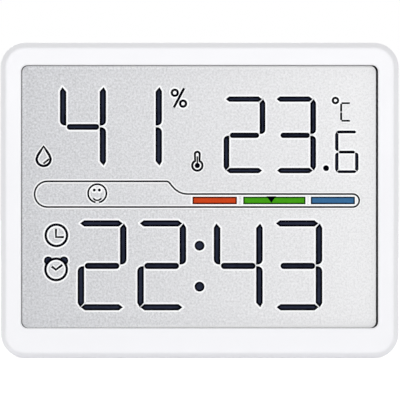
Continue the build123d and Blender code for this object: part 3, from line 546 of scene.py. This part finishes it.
ceramic = end_bands(
    "ceramic capacitor", "Z", capacitor_low.z, capacitor_high.z, capacitor_end,
    (0.30, 0.19, 0.11), (0.75, 0.75, 0.74, 1),
)
switch_black = end_bands(
    "switch body", "Y", switch_low.y - switch_cover, switch_high.y, switch_cover,
    (0.03, 0.03, 0.033), (0.68, 0.68, 0.67, 1),
)
paint(["main_pcb"], solder_mask())
paint(["controller_chip"], epoxy("chip epoxy", (0.012, 0.012, 0.012)))
paint(["temperature_sensor"], epoxy("thermistor resin", (0.02, 0.02, 0.022)))
paint(["capacitors"], ceramic)
paint(["switch_bodies"], switch_black)
print("board width in mm:", round((pcb_high.x - pcb_low.x) / MM, 1))

# %% [markdown]
# The leads have soft coloured insulation, and the cells a printed film round a steel can. The
# film is plain here: a blue body with one pale grey band at the positive end. The band is a test
# on the coordinate along the cell, so it stays on the cell, whatever is near it.


# %% Leads and cells
bloom_spots, bloom_depth = mm(2, 0.01)
cell_shoulder, band_width = mm(1.05, 9.0)
print_blend, print_spots, print_depth = mm(0.02, 0.8, 0.006)


def insulation(name, colour):
    """Soft insulation with a faint bloom."""
    material, tree, shader, place = start_material(name, 0.5)
    bloom = noise(tree, place, bloom_spots, 3.0)
    tone = mottled(tree, bloom, colour, 0.8, 1.15)
    dress(tree, shader, tone, between(tree, bloom, 0.42, 0.6), bloom, bloom_depth)
    return material


def cell_jacket(name, tip_x, tail_x):
    """A cell's printed film, with bare steel at both ends and a band at the positive one."""
    material, tree, shader, place = start_material(name, 0.3)
    along = axis_of(tree, place, "X")
    side = math.copysign(1.0, tip_x - tail_x)
    shoulder = tip_x - side * cell_shoulder
    band_end = shoulder - side * band_width
    edge = side * print_blend
    tip_steel = between(tree, along, 0.0, 1.0, shoulder - edge, shoulder + edge)
    tail_steel = between(tree, along, 1.0, 0.0, tail_x + edge, tail_x + 2 * edge)
    steel = calculate(tree, "MAXIMUM", tip_steel, tail_steel)
    band = between(tree, along, 0.0, 1.0, band_end - edge, band_end + edge)
    spots = noise(tree, place, print_spots)
    body = blend_colours(tree, spots, (0.030, 0.105, 0.240, 1), (0.042, 0.135, 0.290, 1))
    pale = blend_colours(tree, spots, (0.55, 0.57, 0.60, 1), (0.64, 0.66, 0.68, 1))
    film = blend_colours(tree, band, body, pale)
    tone = blend_colours(tree, steel, film, (0.7, 0.7, 0.7, 1))
    link(tree, between(tree, steel, 0.35, 1.0), shader, "Metallic")
    dress(tree, shader, tone, between(tree, spots, 0.24, 0.36), spots, print_depth)
    return material


upper_low, upper_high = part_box("battery_upper")
lower_low, lower_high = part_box("battery_lower")
paint(["battery_upper"], cell_jacket("upper cell film", upper_high.x, upper_low.x))
paint(["battery_lower"], cell_jacket("lower cell film", lower_low.x, lower_high.x))
red_insulation = insulation("red insulation", (0.5, 0.02, 0.015))
black_insulation = insulation("black insulation", (0.02, 0.02, 0.022))
paint(["battery_lead_red", "buzzer_leads"], red_insulation)
paint(["battery_lead_black"], black_insulation)
print("cell length in mm:", round((upper_high.x - upper_low.x) / MM, 1))

# %% [markdown]
# Now come the marks of the display. They are thin closed plates that lie just in front of the
# film, in the gap that the foam holds open under the window. A printed texture would be simpler,
# but plates keep sharp edges at any distance and are real pieces. Each one starts as a flat
# square, is cut to its outline in edit mode, and is then pulled into a plate.

# %% Where the marks lie
film_face = film_low.y
halo_thickness, mark_thickness, mark_gap, halo_reach = mm(0.02, 0.04, 0.01, 0.47)
halo_front = film_face - mark_gap - halo_thickness
mark_front = halo_front - mark_gap - mark_thickness
top_mark_front = mark_front - mark_gap - mark_thickness
facing = 0.9
closeness = 0.002 * MM
room = film_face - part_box("display_lens")[1].y
print("room in front of the film, mm:", round(room / MM, 2))


# %% Helpers for edit mode
def rest():
    """Leave edit mode, with nothing selected."""
    if bpy.context.mode != "OBJECT":
        bpy.ops.object.mode_set(mode="OBJECT")
    bpy.ops.object.select_all(action="DESELECT")


def pick(kind, test):
    """Select the faces or the corners of the piece in edit mode that pass a test."""
    bpy.ops.mesh.select_mode(type=kind)
    bpy.ops.mesh.select_all(action="DESELECT")
    mesh = bpy.context.object.data
    edit = bmesh.from_edit_mesh(mesh)
    for part in edit.faces if kind == "FACE" else edit.verts:
        part.select_set(test(part))
    edit.select_flush_mode()
    bmesh.update_edit_mesh(mesh)


def choose(*pieces):
    """Select some pieces, and make the first one active."""
    for piece in pieces:
        piece.select_set(True)
    bpy.context.view_layer.objects.active = pieces[0]


def settle(piece):
    """Write the piece's place, turn and size into its mesh."""
    choose(piece)
    bpy.ops.object.transform_apply(location=True, rotation=True, scale=True)


def into_plate(piece, front, thickness, materials, rim=0.0):
    """Pull the outline in edit mode into a closed plate, with an inset face if it has a rim."""
    side = -1 if front < 0 else 1
    bpy.ops.mesh.select_all(action="SELECT")
    bpy.ops.mesh.extrude_region_move(TRANSFORM_OT_translate={"value": (0, side * thickness, 0)})
    bpy.ops.mesh.select_all(action="SELECT")
    bpy.ops.mesh.normals_make_consistent(inside=False)
    bpy.ops.transform.translate(value=(0, front - side * thickness, 0))
    for material in materials:
        piece.data.materials.append(material)
    if rim:
        pick("FACE", lambda face: face.normal.y * side > facing)
        bpy.ops.mesh.inset(thickness=rim)
        piece.active_material_index = 1
        bpy.ops.object.material_slot_assign()
    rest()
    return piece


def join(name, pieces):
    """Make one piece of several, and name it."""
    if len(pieces) == 1:
        pieces[0].name = name
        return pieces[0]
    rest()
    choose(*pieces)
    bpy.ops.object.join()
    joined = bpy.context.object
    joined.name = name
    joined.data.name = name
    return joined


print("edit helpers ready")


# %% Outlines
cut_threshold = 1e-7
corner_steps, circle_sides, bevel_steps = 5, 48, 2


def open_outline(name, scale=(1, 1, 1)):
    """Name and size the flat face just added, and open it in edit mode."""
    piece = bpy.context.object
    piece.name = name
    piece.scale = scale
    settle(piece)
    bpy.ops.object.mode_set(mode="EDIT")
    bpy.ops.mesh.select_all(action="SELECT")
    return piece


def cut_outline(name, box, cuts=(), rounds=(), grow=0.0):
    """A flat outline: a rectangle with straight cuts and rounded corners, grown by a margin."""
    left, right, low, high = box
    middle = Vector(((left + right) / 2, 0, (low + high) / 2))
    rest()
    bpy.ops.mesh.primitive_plane_add(size=1, location=middle, rotation=upright)
    piece = open_outline(name, (right - left + 2 * grow, high - low + 2 * grow, 1))
    for (start_x, start_z), (end_x, end_z) in cuts:
        start, end = Vector((start_x, 0, start_z)), Vector((end_x, 0, end_z))
        outward = (end - start).cross(Vector((0, 1, 0))).normalized()
        if outward.dot(start - middle) < 0:
            outward.negate()
        bpy.ops.mesh.select_all(action="SELECT")
        bpy.ops.mesh.bisect(
            plane_co=start + outward * grow,
            plane_no=outward,
            clear_outer=True,
            threshold=cut_threshold,
        )
    for x, z, radius in rounds:
        grown_x = x + math.copysign(grow, x - middle.x)
        grown_z = z + math.copysign(grow, z - middle.z)
        place = Vector((grown_x, 0, grown_z))
        pick("VERT", lambda corner: (corner.co - place).length < closeness)
        bpy.ops.mesh.bevel(offset=radius + grow, segments=corner_steps, affect="VERTICES")
    return piece


def triangle(name, left, right, foot_z, tip_z):
    """A flat triangle that points up or down."""
    tip = ((left + right) / 2, tip_z)
    box = (left, right, min(foot_z, tip_z), max(foot_z, tip_z))
    return cut_outline(name, box, [((left, foot_z), tip), ((right, foot_z), tip)])


def round_outline(name, x, z, radius, inner=0.0):
    """A flat disc or ring, ready in edit mode."""
    rest()
    bpy.ops.mesh.primitive_circle_add(
        vertices=circle_sides,
        radius=radius,
        fill_type="NGON",
        location=(x, 0, z),
        rotation=upright,
    )
    piece = open_outline(name)
    if inner:
        bpy.ops.mesh.inset(thickness=radius - inner)
        bpy.ops.mesh.delete(type="FACE")
    return piece


def stroke(name, points, width, front, material, closed=False):
    """A line of even width: a bevelled curve made a mesh and flattened."""
    rest()
    line = bpy.data.curves.new(name, "CURVE")
    line.dimensions = "3D"
    run = line.splines.new("POLY")
    run.points.add(len(points) - 1)
    for point, (x, z) in zip(run.points, points):
        point.co = (x, 0, z, 1)
    run.use_cyclic_u = closed
    line.bevel_depth = width / 2
    line.bevel_resolution = bevel_steps
    line.use_fill_caps = not closed
    piece = bpy.data.objects.new(name, line)
    bpy.context.scene.collection.objects.link(piece)
    choose(piece)
    bpy.ops.object.convert(target="MESH")
    piece = bpy.context.object
    side = -1 if front < 0 else 1
    piece.scale = (1, mark_thickness / width, 1)
    piece.location = (0, front - side * mark_thickness / 2, 0)
    settle(piece)
    piece.data.materials.append(material)
    return piece


def path(x, z, *places):
    """Points told in mm from one place."""
    return [(x + across * MM, z + up * MM) for across, up in places]


def arc(x, z, radius, start, end, steps=24):
    """Points along part of a circle, with angles in degrees from the X axis."""
    turns = [math.radians(start + (end - start) * step / steps) for step in range(steps + 1)]
    return [(x + radius * math.cos(turn), z + radius * math.sin(turn)) for turn in turns]


print("outline helpers ready")

# %% [markdown]
# The lit segments are not flat black. Seen close, each has a nearly black edge and a blue-black
# core, and a thin pale line surrounds it. So there are four inks: the edge, the core, a softer
# black for the panel's outline, and the pale rim, which also has a faint painted glow: it emits
# a little light though it is no lamp. They are matt, because the window in front already does the
# mirroring.


# %% Inks
mottle_size = 0.4 * MM
# painted glow of the pale rims: light they emit though they are no lamp
painted_rim_glow = 0.115


def ink(name, colour, speck=0.12, glow=0.0):
    """A matt display ink with a faint mottle, and a painted glow where one is given."""
    material, tree, shader, place = start_material(
        name, 0.85, Specular_IOR_Level=0.0, Emission_Strength=glow
    )
    mottle = noise(tree, place, mottle_size, 1.0)
    link(tree, mottled(tree, mottle, colour, 1 - speck, 1 + speck), shader, "Base Color")
    link(tree, between(tree, mottle, 0.8, 0.9), shader, "Roughness")
    return material


edge_ink = ink("segment edge", (0.0006, 0.0006, 0.003))
core_ink = ink("segment core", (0.026, 0.031, 0.055))
line_ink = ink("outline ink", (0.010, 0.010, 0.012))
# the pale rim ink, with its faint painted glow
halo_ink = ink("clear rim", (0.972, 0.98, 0.989), 0.01, painted_rim_glow)
print("inks:", [material.name for material in (edge_ink, core_ink, line_ink, halo_ink)])


def mark_plate(piece, inks=(edge_ink,), rim=0.0):
    """Make the outline in edit mode a mark of the display."""
    return into_plate(piece, mark_front, mark_thickness, inks, rim)


def pale_rim(piece):
    """Make the outline in edit mode the pale rim behind a mark."""
    return into_plate(piece, halo_front, halo_thickness, (halo_ink,))

# %% [markdown]
# A digit has seven segments: three bars and four posts. The bars at the top and the bottom end in
# points, the middle bar is rounded, and each post has a point at its outer end and one rounded
# corner at the middle. One function draws any of the seven in a cell of any size, so that all
# the digits are built the same way. A cell has a top, a width, a height, and the widths of its
# bars and its posts.

# %% Segments
bar_tip_share = 0.65
bar_inset_shares = {"a": {-1: 0.38, 1: 0.58}, "d": {-1: 0.48, 1: 0.56}}
middle_inset_share = 1.09
middle_drop_share = 0.0062
post_tip_share = 0.38
inner_slope_share = 0.70
outer_slope_share = 0.66
post_drop_share = 0.50
post_corner_share = 0.76
split_gap = 0.48 * MM
edge_width, edge_share = 0.53 * MM, 0.47
lit_segments = {
    "1": "bc",
    "2": "abged",
    "3": "abgcd",
    "4": "fgbc",
    "6": "afgecd",
}


def segment_outline(letter, left, top, width, height, bar, post):
    """The box, cuts and rounded corners of one segment in a digit's cell."""
    middle_x, middle_z = left + width / 2, top - height / 2

    def at(side, rise, from_side, from_end):
        across, up = side * (width / 2 - from_side), rise * (height / 2 - from_end)
        return middle_x + across, middle_z + up

    if letter in "ad":
        rise = 1 if letter == "a" else -1
        inset, tip = bar_inset_shares[letter], bar * bar_tip_share
        low_z, high_z = sorted((at(1, rise, 0, 0)[1], at(1, rise, 0, bar)[1]))
        box = (at(-1, 1, post * inset[-1], 0)[0], at(1, 1, post * inset[1], 0)[0], low_z, high_z)
        cuts = []
        for side in (-1, 1):
            start = post * inset[side]
            point = at(side, rise, start, bar / 2)
            cuts.append((point, at(side, rise, start + tip, 0)))
            cuts.append((point, at(side, rise, start + tip, bar)))
        return box, cuts, []
    if letter == "g":
        start, bar_z = post * middle_inset_share, middle_z - height * middle_drop_share
        box = (left + start, left + width - start, bar_z - bar / 2, bar_z + bar / 2)
        return box, [], [(x, z, bar / 2) for x in box[:2] for z in box[2:]]
    side = 1 if letter in "bc" else -1
    rise = 1 if letter in "bf" else -1
    drop = bar * post_drop_share
    end = height / 2 - split_gap / 2
    near_x, far_x = at(side, 1, 0, 0)[0], at(side, 1, post, 0)[0]
    outer_z, inner_z = at(1, rise, 0, drop)[1], at(1, rise, 0, end)[1]
    box = (min(near_x, far_x), max(near_x, far_x), min(outer_z, inner_z), max(outer_z, inner_z))
    tip = at(side, rise, post * post_tip_share, drop)
    cuts = [
        (tip, at(side, rise, post, drop + post * inner_slope_share)),
        (tip, at(side, rise, 0, drop + post * outer_slope_share)),
    ]
    return box, cuts, [(near_x, inner_z, post * post_corner_share)]


def digit(name, figure, left, top, width, height, bar, post):
    """All the lit segments of one digit, and the pale rims behind them."""
    marks, halos = [], []
    for letter in lit_segments[figure]:
        box, cuts, rounds = segment_outline(letter, left, top, width, height, bar, post)
        piece = cut_outline(f"{name}_{letter}", box, cuts, rounds)
        marks.append(mark_plate(piece, (edge_ink, core_ink), min(edge_width, bar * edge_share)))
        piece = cut_outline(f"{name}_{letter}_rim", box, cuts, rounds, halo_reach)
        halos.append(pale_rim(piece))
    return marks, halos


time_cell = mm(38.12, 13.50, 24.87, 1.71, 1.81)
humidity_cell = mm(75.71, 12.74, 23.30, 1.61, 1.75)
warmth_cell = mm(72.32, 11.52, 21.19, 1.46, 1.57)
tenth_cell = mm(62.91, 6.44, 11.74, 0.77, 0.92)
digits = [
    ("hour_tens", "2", -33.70, time_cell),
    ("hour_units", "2", -17.24, time_cell),
    ("minute_tens", "4", 3.90, time_cell),
    ("minute_units", "3", 20.36, time_cell),
    ("humidity_tens", "4", -38.60, humidity_cell),
    ("humidity_units", "1", -23.16, humidity_cell),
    ("warmth_tens", "2", 6.61, warmth_cell),
    ("warmth_units", "3", 20.61, warmth_cell),
    ("warmth_tenths", "6", 37.41, tenth_cell),
]
pale_rims = []
display_marks = []
for name, figure, left, cell in digits:
    marks, halos = digit(name, figure, left * MM, *cell)
    display_marks.append(join(f"digit_{name}", marks))
    pale_rims += halos
print("digits:", len(display_marks), "segments:", len(pale_rims))

# %% [markdown]
# Between the digits stand the colon, the decimal dot, the percent sign and the degree sign. They
# are discs, rings and short strokes. A font could give them, but its shapes would not match the
# segment style, so they are built from the same plates.


# %% Dots and signs
def dot(name, x, z, radius, rim=0.0):
    """A round mark with its pale rim."""
    piece = round_outline(name, x, z, radius)
    mark = mark_plate(piece, (edge_ink, core_ink) if rim else (edge_ink,), rim)
    pale_rims.append(pale_rim(round_outline(f"{name}_rim", x, z, radius + halo_reach)))
    return mark


def ring(name, x, z, outer, inner):
    """A round outline with its pale rim."""
    mark = mark_plate(round_outline(name, x, z, outer, inner))
    piece = round_outline(f"{name}_rim", x, z, outer + halo_reach, max(inner - halo_reach, 0))
    pale_rims.append(pale_rim(piece))
    return mark


def line(name, points, width, closed=False, material=edge_ink):
    """A stroke with its pale rim."""
    pale = stroke(f"{name}_rim", points, width + 2 * halo_reach, halo_front, halo_ink, closed)
    pale_rims.append(pale)
    return stroke(name, points, width, mark_front, material, closed)


colon_radius, colon_edge, point_radius = mm(1.36, 0.48, 0.81)
percent_outer, percent_inner, slash_width = mm(1.15, 0.50, 0.69)
degree_outer, degree_inner = mm(1.03, 0.43)
colon_x, upper_z, lower_z = mm(-0.04, 31.12, 19.80)
point, upper_ring, lower_ring, degree, *slash = path(
    0, 0, (34.91, 52.53), (-6.87, 73.35), (-4.59, 70.35), (37.50, 71.21),
    (-4.31, 74.58), (-7.13, 69.27),
)
left, right, high, low = mm(39.07, 41.46, 70.47, 65.62)
middle = (high + low) / 2
turn, start, gap, post, bar = mm(0.20, 0.12, 0.11, 0.58, 0.51)
signs = {
    "colon": [
        dot("colon_upper", colon_x, upper_z, colon_radius, colon_edge),
        dot("colon_lower", colon_x, lower_z, colon_radius, colon_edge),
    ],
    "decimal_dot": [dot("decimal_dot", *point, point_radius)],
    "percent_sign": [
        ring("percent_upper", *upper_ring, percent_outer, percent_inner),
        ring("percent_lower", *lower_ring, percent_outer, percent_inner),
        line("percent_slash", slash, slash_width),
    ],
    "degree_sign": [
        ring("degree_ring", *degree, degree_outer, degree_inner),
        line("unit_top", [(left + start, high), (right, high)], bar),
        line("unit_upper", [(left, high - turn), (left, middle + gap)], post),
        line("unit_lower", [(left, middle - gap), (left, low + turn)], post),
        line("unit_bottom", [(left + start, low), (right, low)], bar),
    ],
}
display_marks += [join(name, marks) for name, marks in signs.items()]
print("signs:", list(signs))

# %% [markdown]
# The pictures on the display are a drop, a thermometer, a clock face, an alarm clock and a
# smiling face in a long rounded panel. They are line drawings of even width. A curve with a
# round bevel draws such a line round any path, and is then made a mesh and pressed flat.


# %% Pictures
cutter_sides, cutter_depth = 64, 1 * MM
hand_width = 0.64 * MM


def drop_picture():
    """A drop of water with a streak of light."""
    x, middle_z, reach, tip_rise = mm(-43.10, 55.08, 1.94, 3.47)
    outline_width, streak_width = mm(0.70, 0.52)
    bowl = arc(x, middle_z, reach, 180, 360)
    side_shares = [(0.51, 1.02), (0.84, 0.50)]
    left_side = [(x - across * reach, middle_z + up * reach) for across, up in side_shares]
    right_side = [(2 * x - side_x, side_z) for side_x, side_z in reversed(left_side)]
    outline = [(x, middle_z + tip_rise)] + left_side + bowl + right_side
    streak = path(0, 0, (-43.15, 53.78), (-41.62, 55.05))
    return [
        line("drop_outline", outline, outline_width, True),
        line("drop_streak", streak, streak_width),
    ]


def thermometer_picture():
    """A bulb thermometer."""
    x, bulb_z, thread_z, top_z = mm(-0.65, 53.25, 55.8, 57.06)
    bulb, bead, tube, outline_width, thread_width = mm(1.41, 0.72, 0.67, 0.61, 0.40)
    open_turn = 25
    bowl = arc(x, bulb_z, bulb, 90 + open_turn, 450 - open_turn)
    cap = arc(x, top_z - tube, tube, 0, 180, 8)
    return [
        line("thermometer_outline", bowl + cap, outline_width, True),
        dot("thermometer_bulb", x, bulb_z, bead),
        line("thermometer_thread", [(x, bulb_z), (x, thread_z)], thread_width),
    ]


def dial(name, x, z, reach, width, *hands):
    """A ring with two hands in it."""
    return [
        ring(f"{name}_ring", x, z, reach, reach - width),
        line(f"{name}_hands", path(x, z, *hands), hand_width),
    ]


def clock_picture():
    """A clock face at three o'clock."""
    x, z, reach, width = mm(-39.57, 33.98, 3.29, 0.67)
    return dial("clock", x, z, reach, width, (-0.12, 1.75), (-0.12, -0.49), (2.06, -0.49))


def cut_round(piece, x, z, radius):
    """Cut a round bite out of a plate."""
    rest()
    bpy.ops.mesh.primitive_cylinder_add(
        vertices=cutter_sides,
        radius=radius,
        depth=cutter_depth,
        location=(x, film_face, z),
        rotation=upright,
    )
    cutter = bpy.context.object
    rest()
    choose(piece)
    bite = piece.modifiers.new("bite", "BOOLEAN")
    bite.operation = "DIFFERENCE"
    bite.object = cutter
    bpy.ops.object.modifier_apply(modifier=bite.name)
    bpy.data.objects.remove(cutter)


def alarm_picture():
    """An alarm clock with two bells."""
    x, z, reach, width = mm(-39.65, 24.57, 3.30, 0.68)
    bell_across, bell_up, bell_radius, bell_edge = mm(2.16, 2.39, 1.19, 0.45)
    bells = []
    for side in (-1, 1):
        bell_x = x + side * bell_across
        bells.append(dot(f"bell_{side}", bell_x, z + bell_up, bell_radius, bell_edge))
        cut_round(bells[-1], x, z, reach - width / 2)
        cut_round(pale_rims[-1], x, z, reach - width / 2)
    hands = (-1.20, 0.78), (-0.05, -0.08), (1.72, 1.26)
    return bells + dial("alarm", x, z, reach, width, *hands)


def smile_picture():
    """A plain smiling face."""
    x, z, reach, outline_width = mm(-28.28, 45.57, 2.54, 0.50)
    eye_across, eye_shift, eye_up, eye_radius = mm(0.70, 0.13, 0.91, 0.40)
    smile_drop, smile_reach, smile_width = mm(0.60, 1.33, 0.45)
    eyes = []
    for side in (-1, 1):
        eye_x = x + side * eye_across - eye_shift
        eyes.append(dot(f"eye_{side}", eye_x, z + eye_up, eye_radius))
    smile = arc(x, z - smile_drop, smile_reach, 213, 327, 10)
    return eyes + [
        line("face_outline", arc(x, z, reach, -79, 259), outline_width),
        line("face_smile", smile, smile_width),
    ]


def panel_picture():
    """The long panel: high at its left end, stepped down to a low right end."""
    left_x, right_x, high_z, step_z, low_z = mm(-45.60, 44.06, 48.89, 45.38, 41.79)
    outline_width = 0.47 * MM
    left_radius, right_radius = (high_z - low_z) / 2, (step_z - low_z) / 2
    left_end = arc(left_x + left_radius, low_z + left_radius, left_radius, 270, 90)
    step = path(
        0, 0, (-9.07, 48.89), (-8.60, 48.73), (-8.22, 48.33), (-7.66, 47.61),
        (-6.84, 46.72), (-5.73, 45.96), (-4.63, 45.52), (-3.52, 45.38),
    )
    right_end = arc(right_x - right_radius, low_z + right_radius, right_radius, 90, -90)
    return [line("panel_outline", left_end + step + right_end, outline_width, True, line_ink)]


pictures = {
    "picture_drop": drop_picture(),
    "picture_thermometer": thermometer_picture(),
    "picture_clock": clock_picture(),
    "picture_alarm": alarm_picture(),
    "picture_smile": smile_picture(),
    "picture_panel": panel_picture(),
}
display_marks += [join(name, marks) for name, marks in pictures.items()]
print("pictures:", list(pictures))

# %% [markdown]
# Three coloured bars show whether the room is dry, right or damp. They are printed on the film,
# each with a darker rim of its own colour, and a small black pointer hangs over the middle one.
# They are plates again, with the rim made by insetting the front face.

# %% Coloured bars
bar_low, bar_high, bar_rim = mm(42.57, 44.64, 0.40)
bar_rim_shade = 0.15
bars = [
    ("bar_dry", -1.98, 10.28, (0.655, 0.066, 0.0145)),
    ("bar_right", 12.04, 29.22, (0.066, 0.386, 0.011)),
    ("bar_damp", 30.70, 42.87, (0.048, 0.166, 0.356)),
]
for name, left, right, colour in bars:
    rim_ink = ink(f"{name} rim", tuple(part * bar_rim_shade for part in colour))
    face_ink = ink(f"{name} face", colour)
    box = (left * MM, right * MM, bar_low, bar_high)
    display_marks.append(mark_plate(cut_outline(name, box), (rim_ink, face_ink), bar_rim))
    pale_rims.append(pale_rim(cut_outline(f"{name}_rim", box, grow=halo_reach)))

pointer_left, pointer_right, pointer_tip, pointer_top = mm(18.45, 21.10, 43.00, 44.74)
piece = triangle("bar_pointer", pointer_left, pointer_right, pointer_top, pointer_tip)
display_marks.append(into_plate(piece, top_mark_front, mark_thickness, (edge_ink,)))
rims = join("pale_rims", pale_rims)
for piece in display_marks + [rims]:
    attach(piece, "root")
print("display pieces:", len(display_marks) + 1)

# %% [markdown]
# On the back, the four button caps carry small raised signs, and the battery door has a raised
# arrow that shows where it opens. Each sign is shaped like the marks of the display, but it faces
# the back and rides with its own button, so that it moves when the button is pressed.

# %% Signs on the back
sign_height, sign_sink, sign_size = mm(0.15, 0.03, 1.1)
triangle_share = 0.8
ring_outer_share, ring_inner_share, ring_dot_share = 1.2, 0.9, 0.3
small_outer_share, small_inner_share = 0.6, 0.32


def cap_middle(key_name):
    """The middle of a button's face, and how far back it lies."""
    low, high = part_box(f"button_{key_name}")
    return (low.x + high.x) / 2, (low.z + high.z) / 2, high.y


def raised(piece, back, finish):
    """A raised sign whose foot is sunk a little into what carries it."""
    material = bpy.data.materials[finish]
    return into_plate(piece, back + sign_height, sign_height + sign_sink, (material,))


def arrow(name, x, z, size, rise):
    """A flat triangle round a middle."""
    reach = rise * size * triangle_share
    return triangle(name, x - size, x + size, z - reach, z + reach)


def cap_triangle(key_name, rise):
    """A raised triangle on a button."""
    x, z, face = cap_middle(key_name)
    return raised(arrow(f"sign_{key_name}", x, z, sign_size, rise), face, "button plastic")


def cap_round(key_name, part, outer_share, inner_share=0.0):
    """A raised ring or dot on a button."""
    x, z, face = cap_middle(key_name)
    outer, inner = outer_share * sign_size, inner_share * sign_size
    piece = round_outline(f"sign_{key_name}_{part}", x, z, outer, inner)
    return raised(piece, face, "button plastic")


cap_signs = {
    "up": [cap_triangle("up", 1)],
    "down": [cap_triangle("down", -1)],
    "mode": [
        cap_round("mode", "ring", ring_outer_share, ring_inner_share),
        cap_round("mode", "dot", ring_dot_share),
    ],
    "unit": [cap_round("unit", "ring", small_outer_share, small_inner_share)],
}
for key_name, parts in cap_signs.items():
    piece = join(f"cap_sign_{key_name}", parts)
    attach(piece, f"key_{key_name}")

door_low, door_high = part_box("battery_door")
arrow_x, arrow_rise, arrow_size = mm(0.0, 16.5, 1.6)
piece = arrow("door_arrow", arrow_x, door_low.z + arrow_rise, arrow_size, -1)
door_arrow = raised(piece, door_high.y, "rear white plastic")
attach(door_arrow, "door")
print("signs on the back:", len(cap_signs) + 1)

# %% [markdown]
# The floor is plain and pale, and keeps the soft shadow under the clock. It adds some light of
# its own for camera rays, so that the rest of it fades into the white background, and a very
# little for the clock, which lifts the sloped edge at its foot.

# %% Floor
floor_size = 12.0
floor_dark, floor_pale = (0.93, 0.93, 0.93, 1), (0.95, 0.95, 0.95, 1)
floor_grain = 4 * MM
table_glow = 0.08
floor_lift = 0.61
rest()
bpy.ops.mesh.primitive_plane_add(size=floor_size, location=(0, 0, 0))
floor = bpy.context.object
floor.name = "floor"
material, tree, shader, place = start_material(
    "pale floor", 0.8, Specular_IOR_Level=0.0, Emission_Color=white
)
speckle = noise(tree, place, floor_grain)
link(tree, blend_colours(tree, speckle, floor_dark, floor_pale), shader, "Base Color")
glow = between(tree, seen_or_mirrored(tree), table_glow, floor_lift)
link(tree, glow, shader, "Emission Strength")
floor.data.materials.append(material)
floor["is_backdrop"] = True
print("floor:", floor.name)

# %% Finish
seen_low, seen_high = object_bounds()
growth = (cad_low - seen_low)[:] + (seen_high - cad_high)[:]
print("grown by, mm:", [round(value / MM, 2) for value in growth])
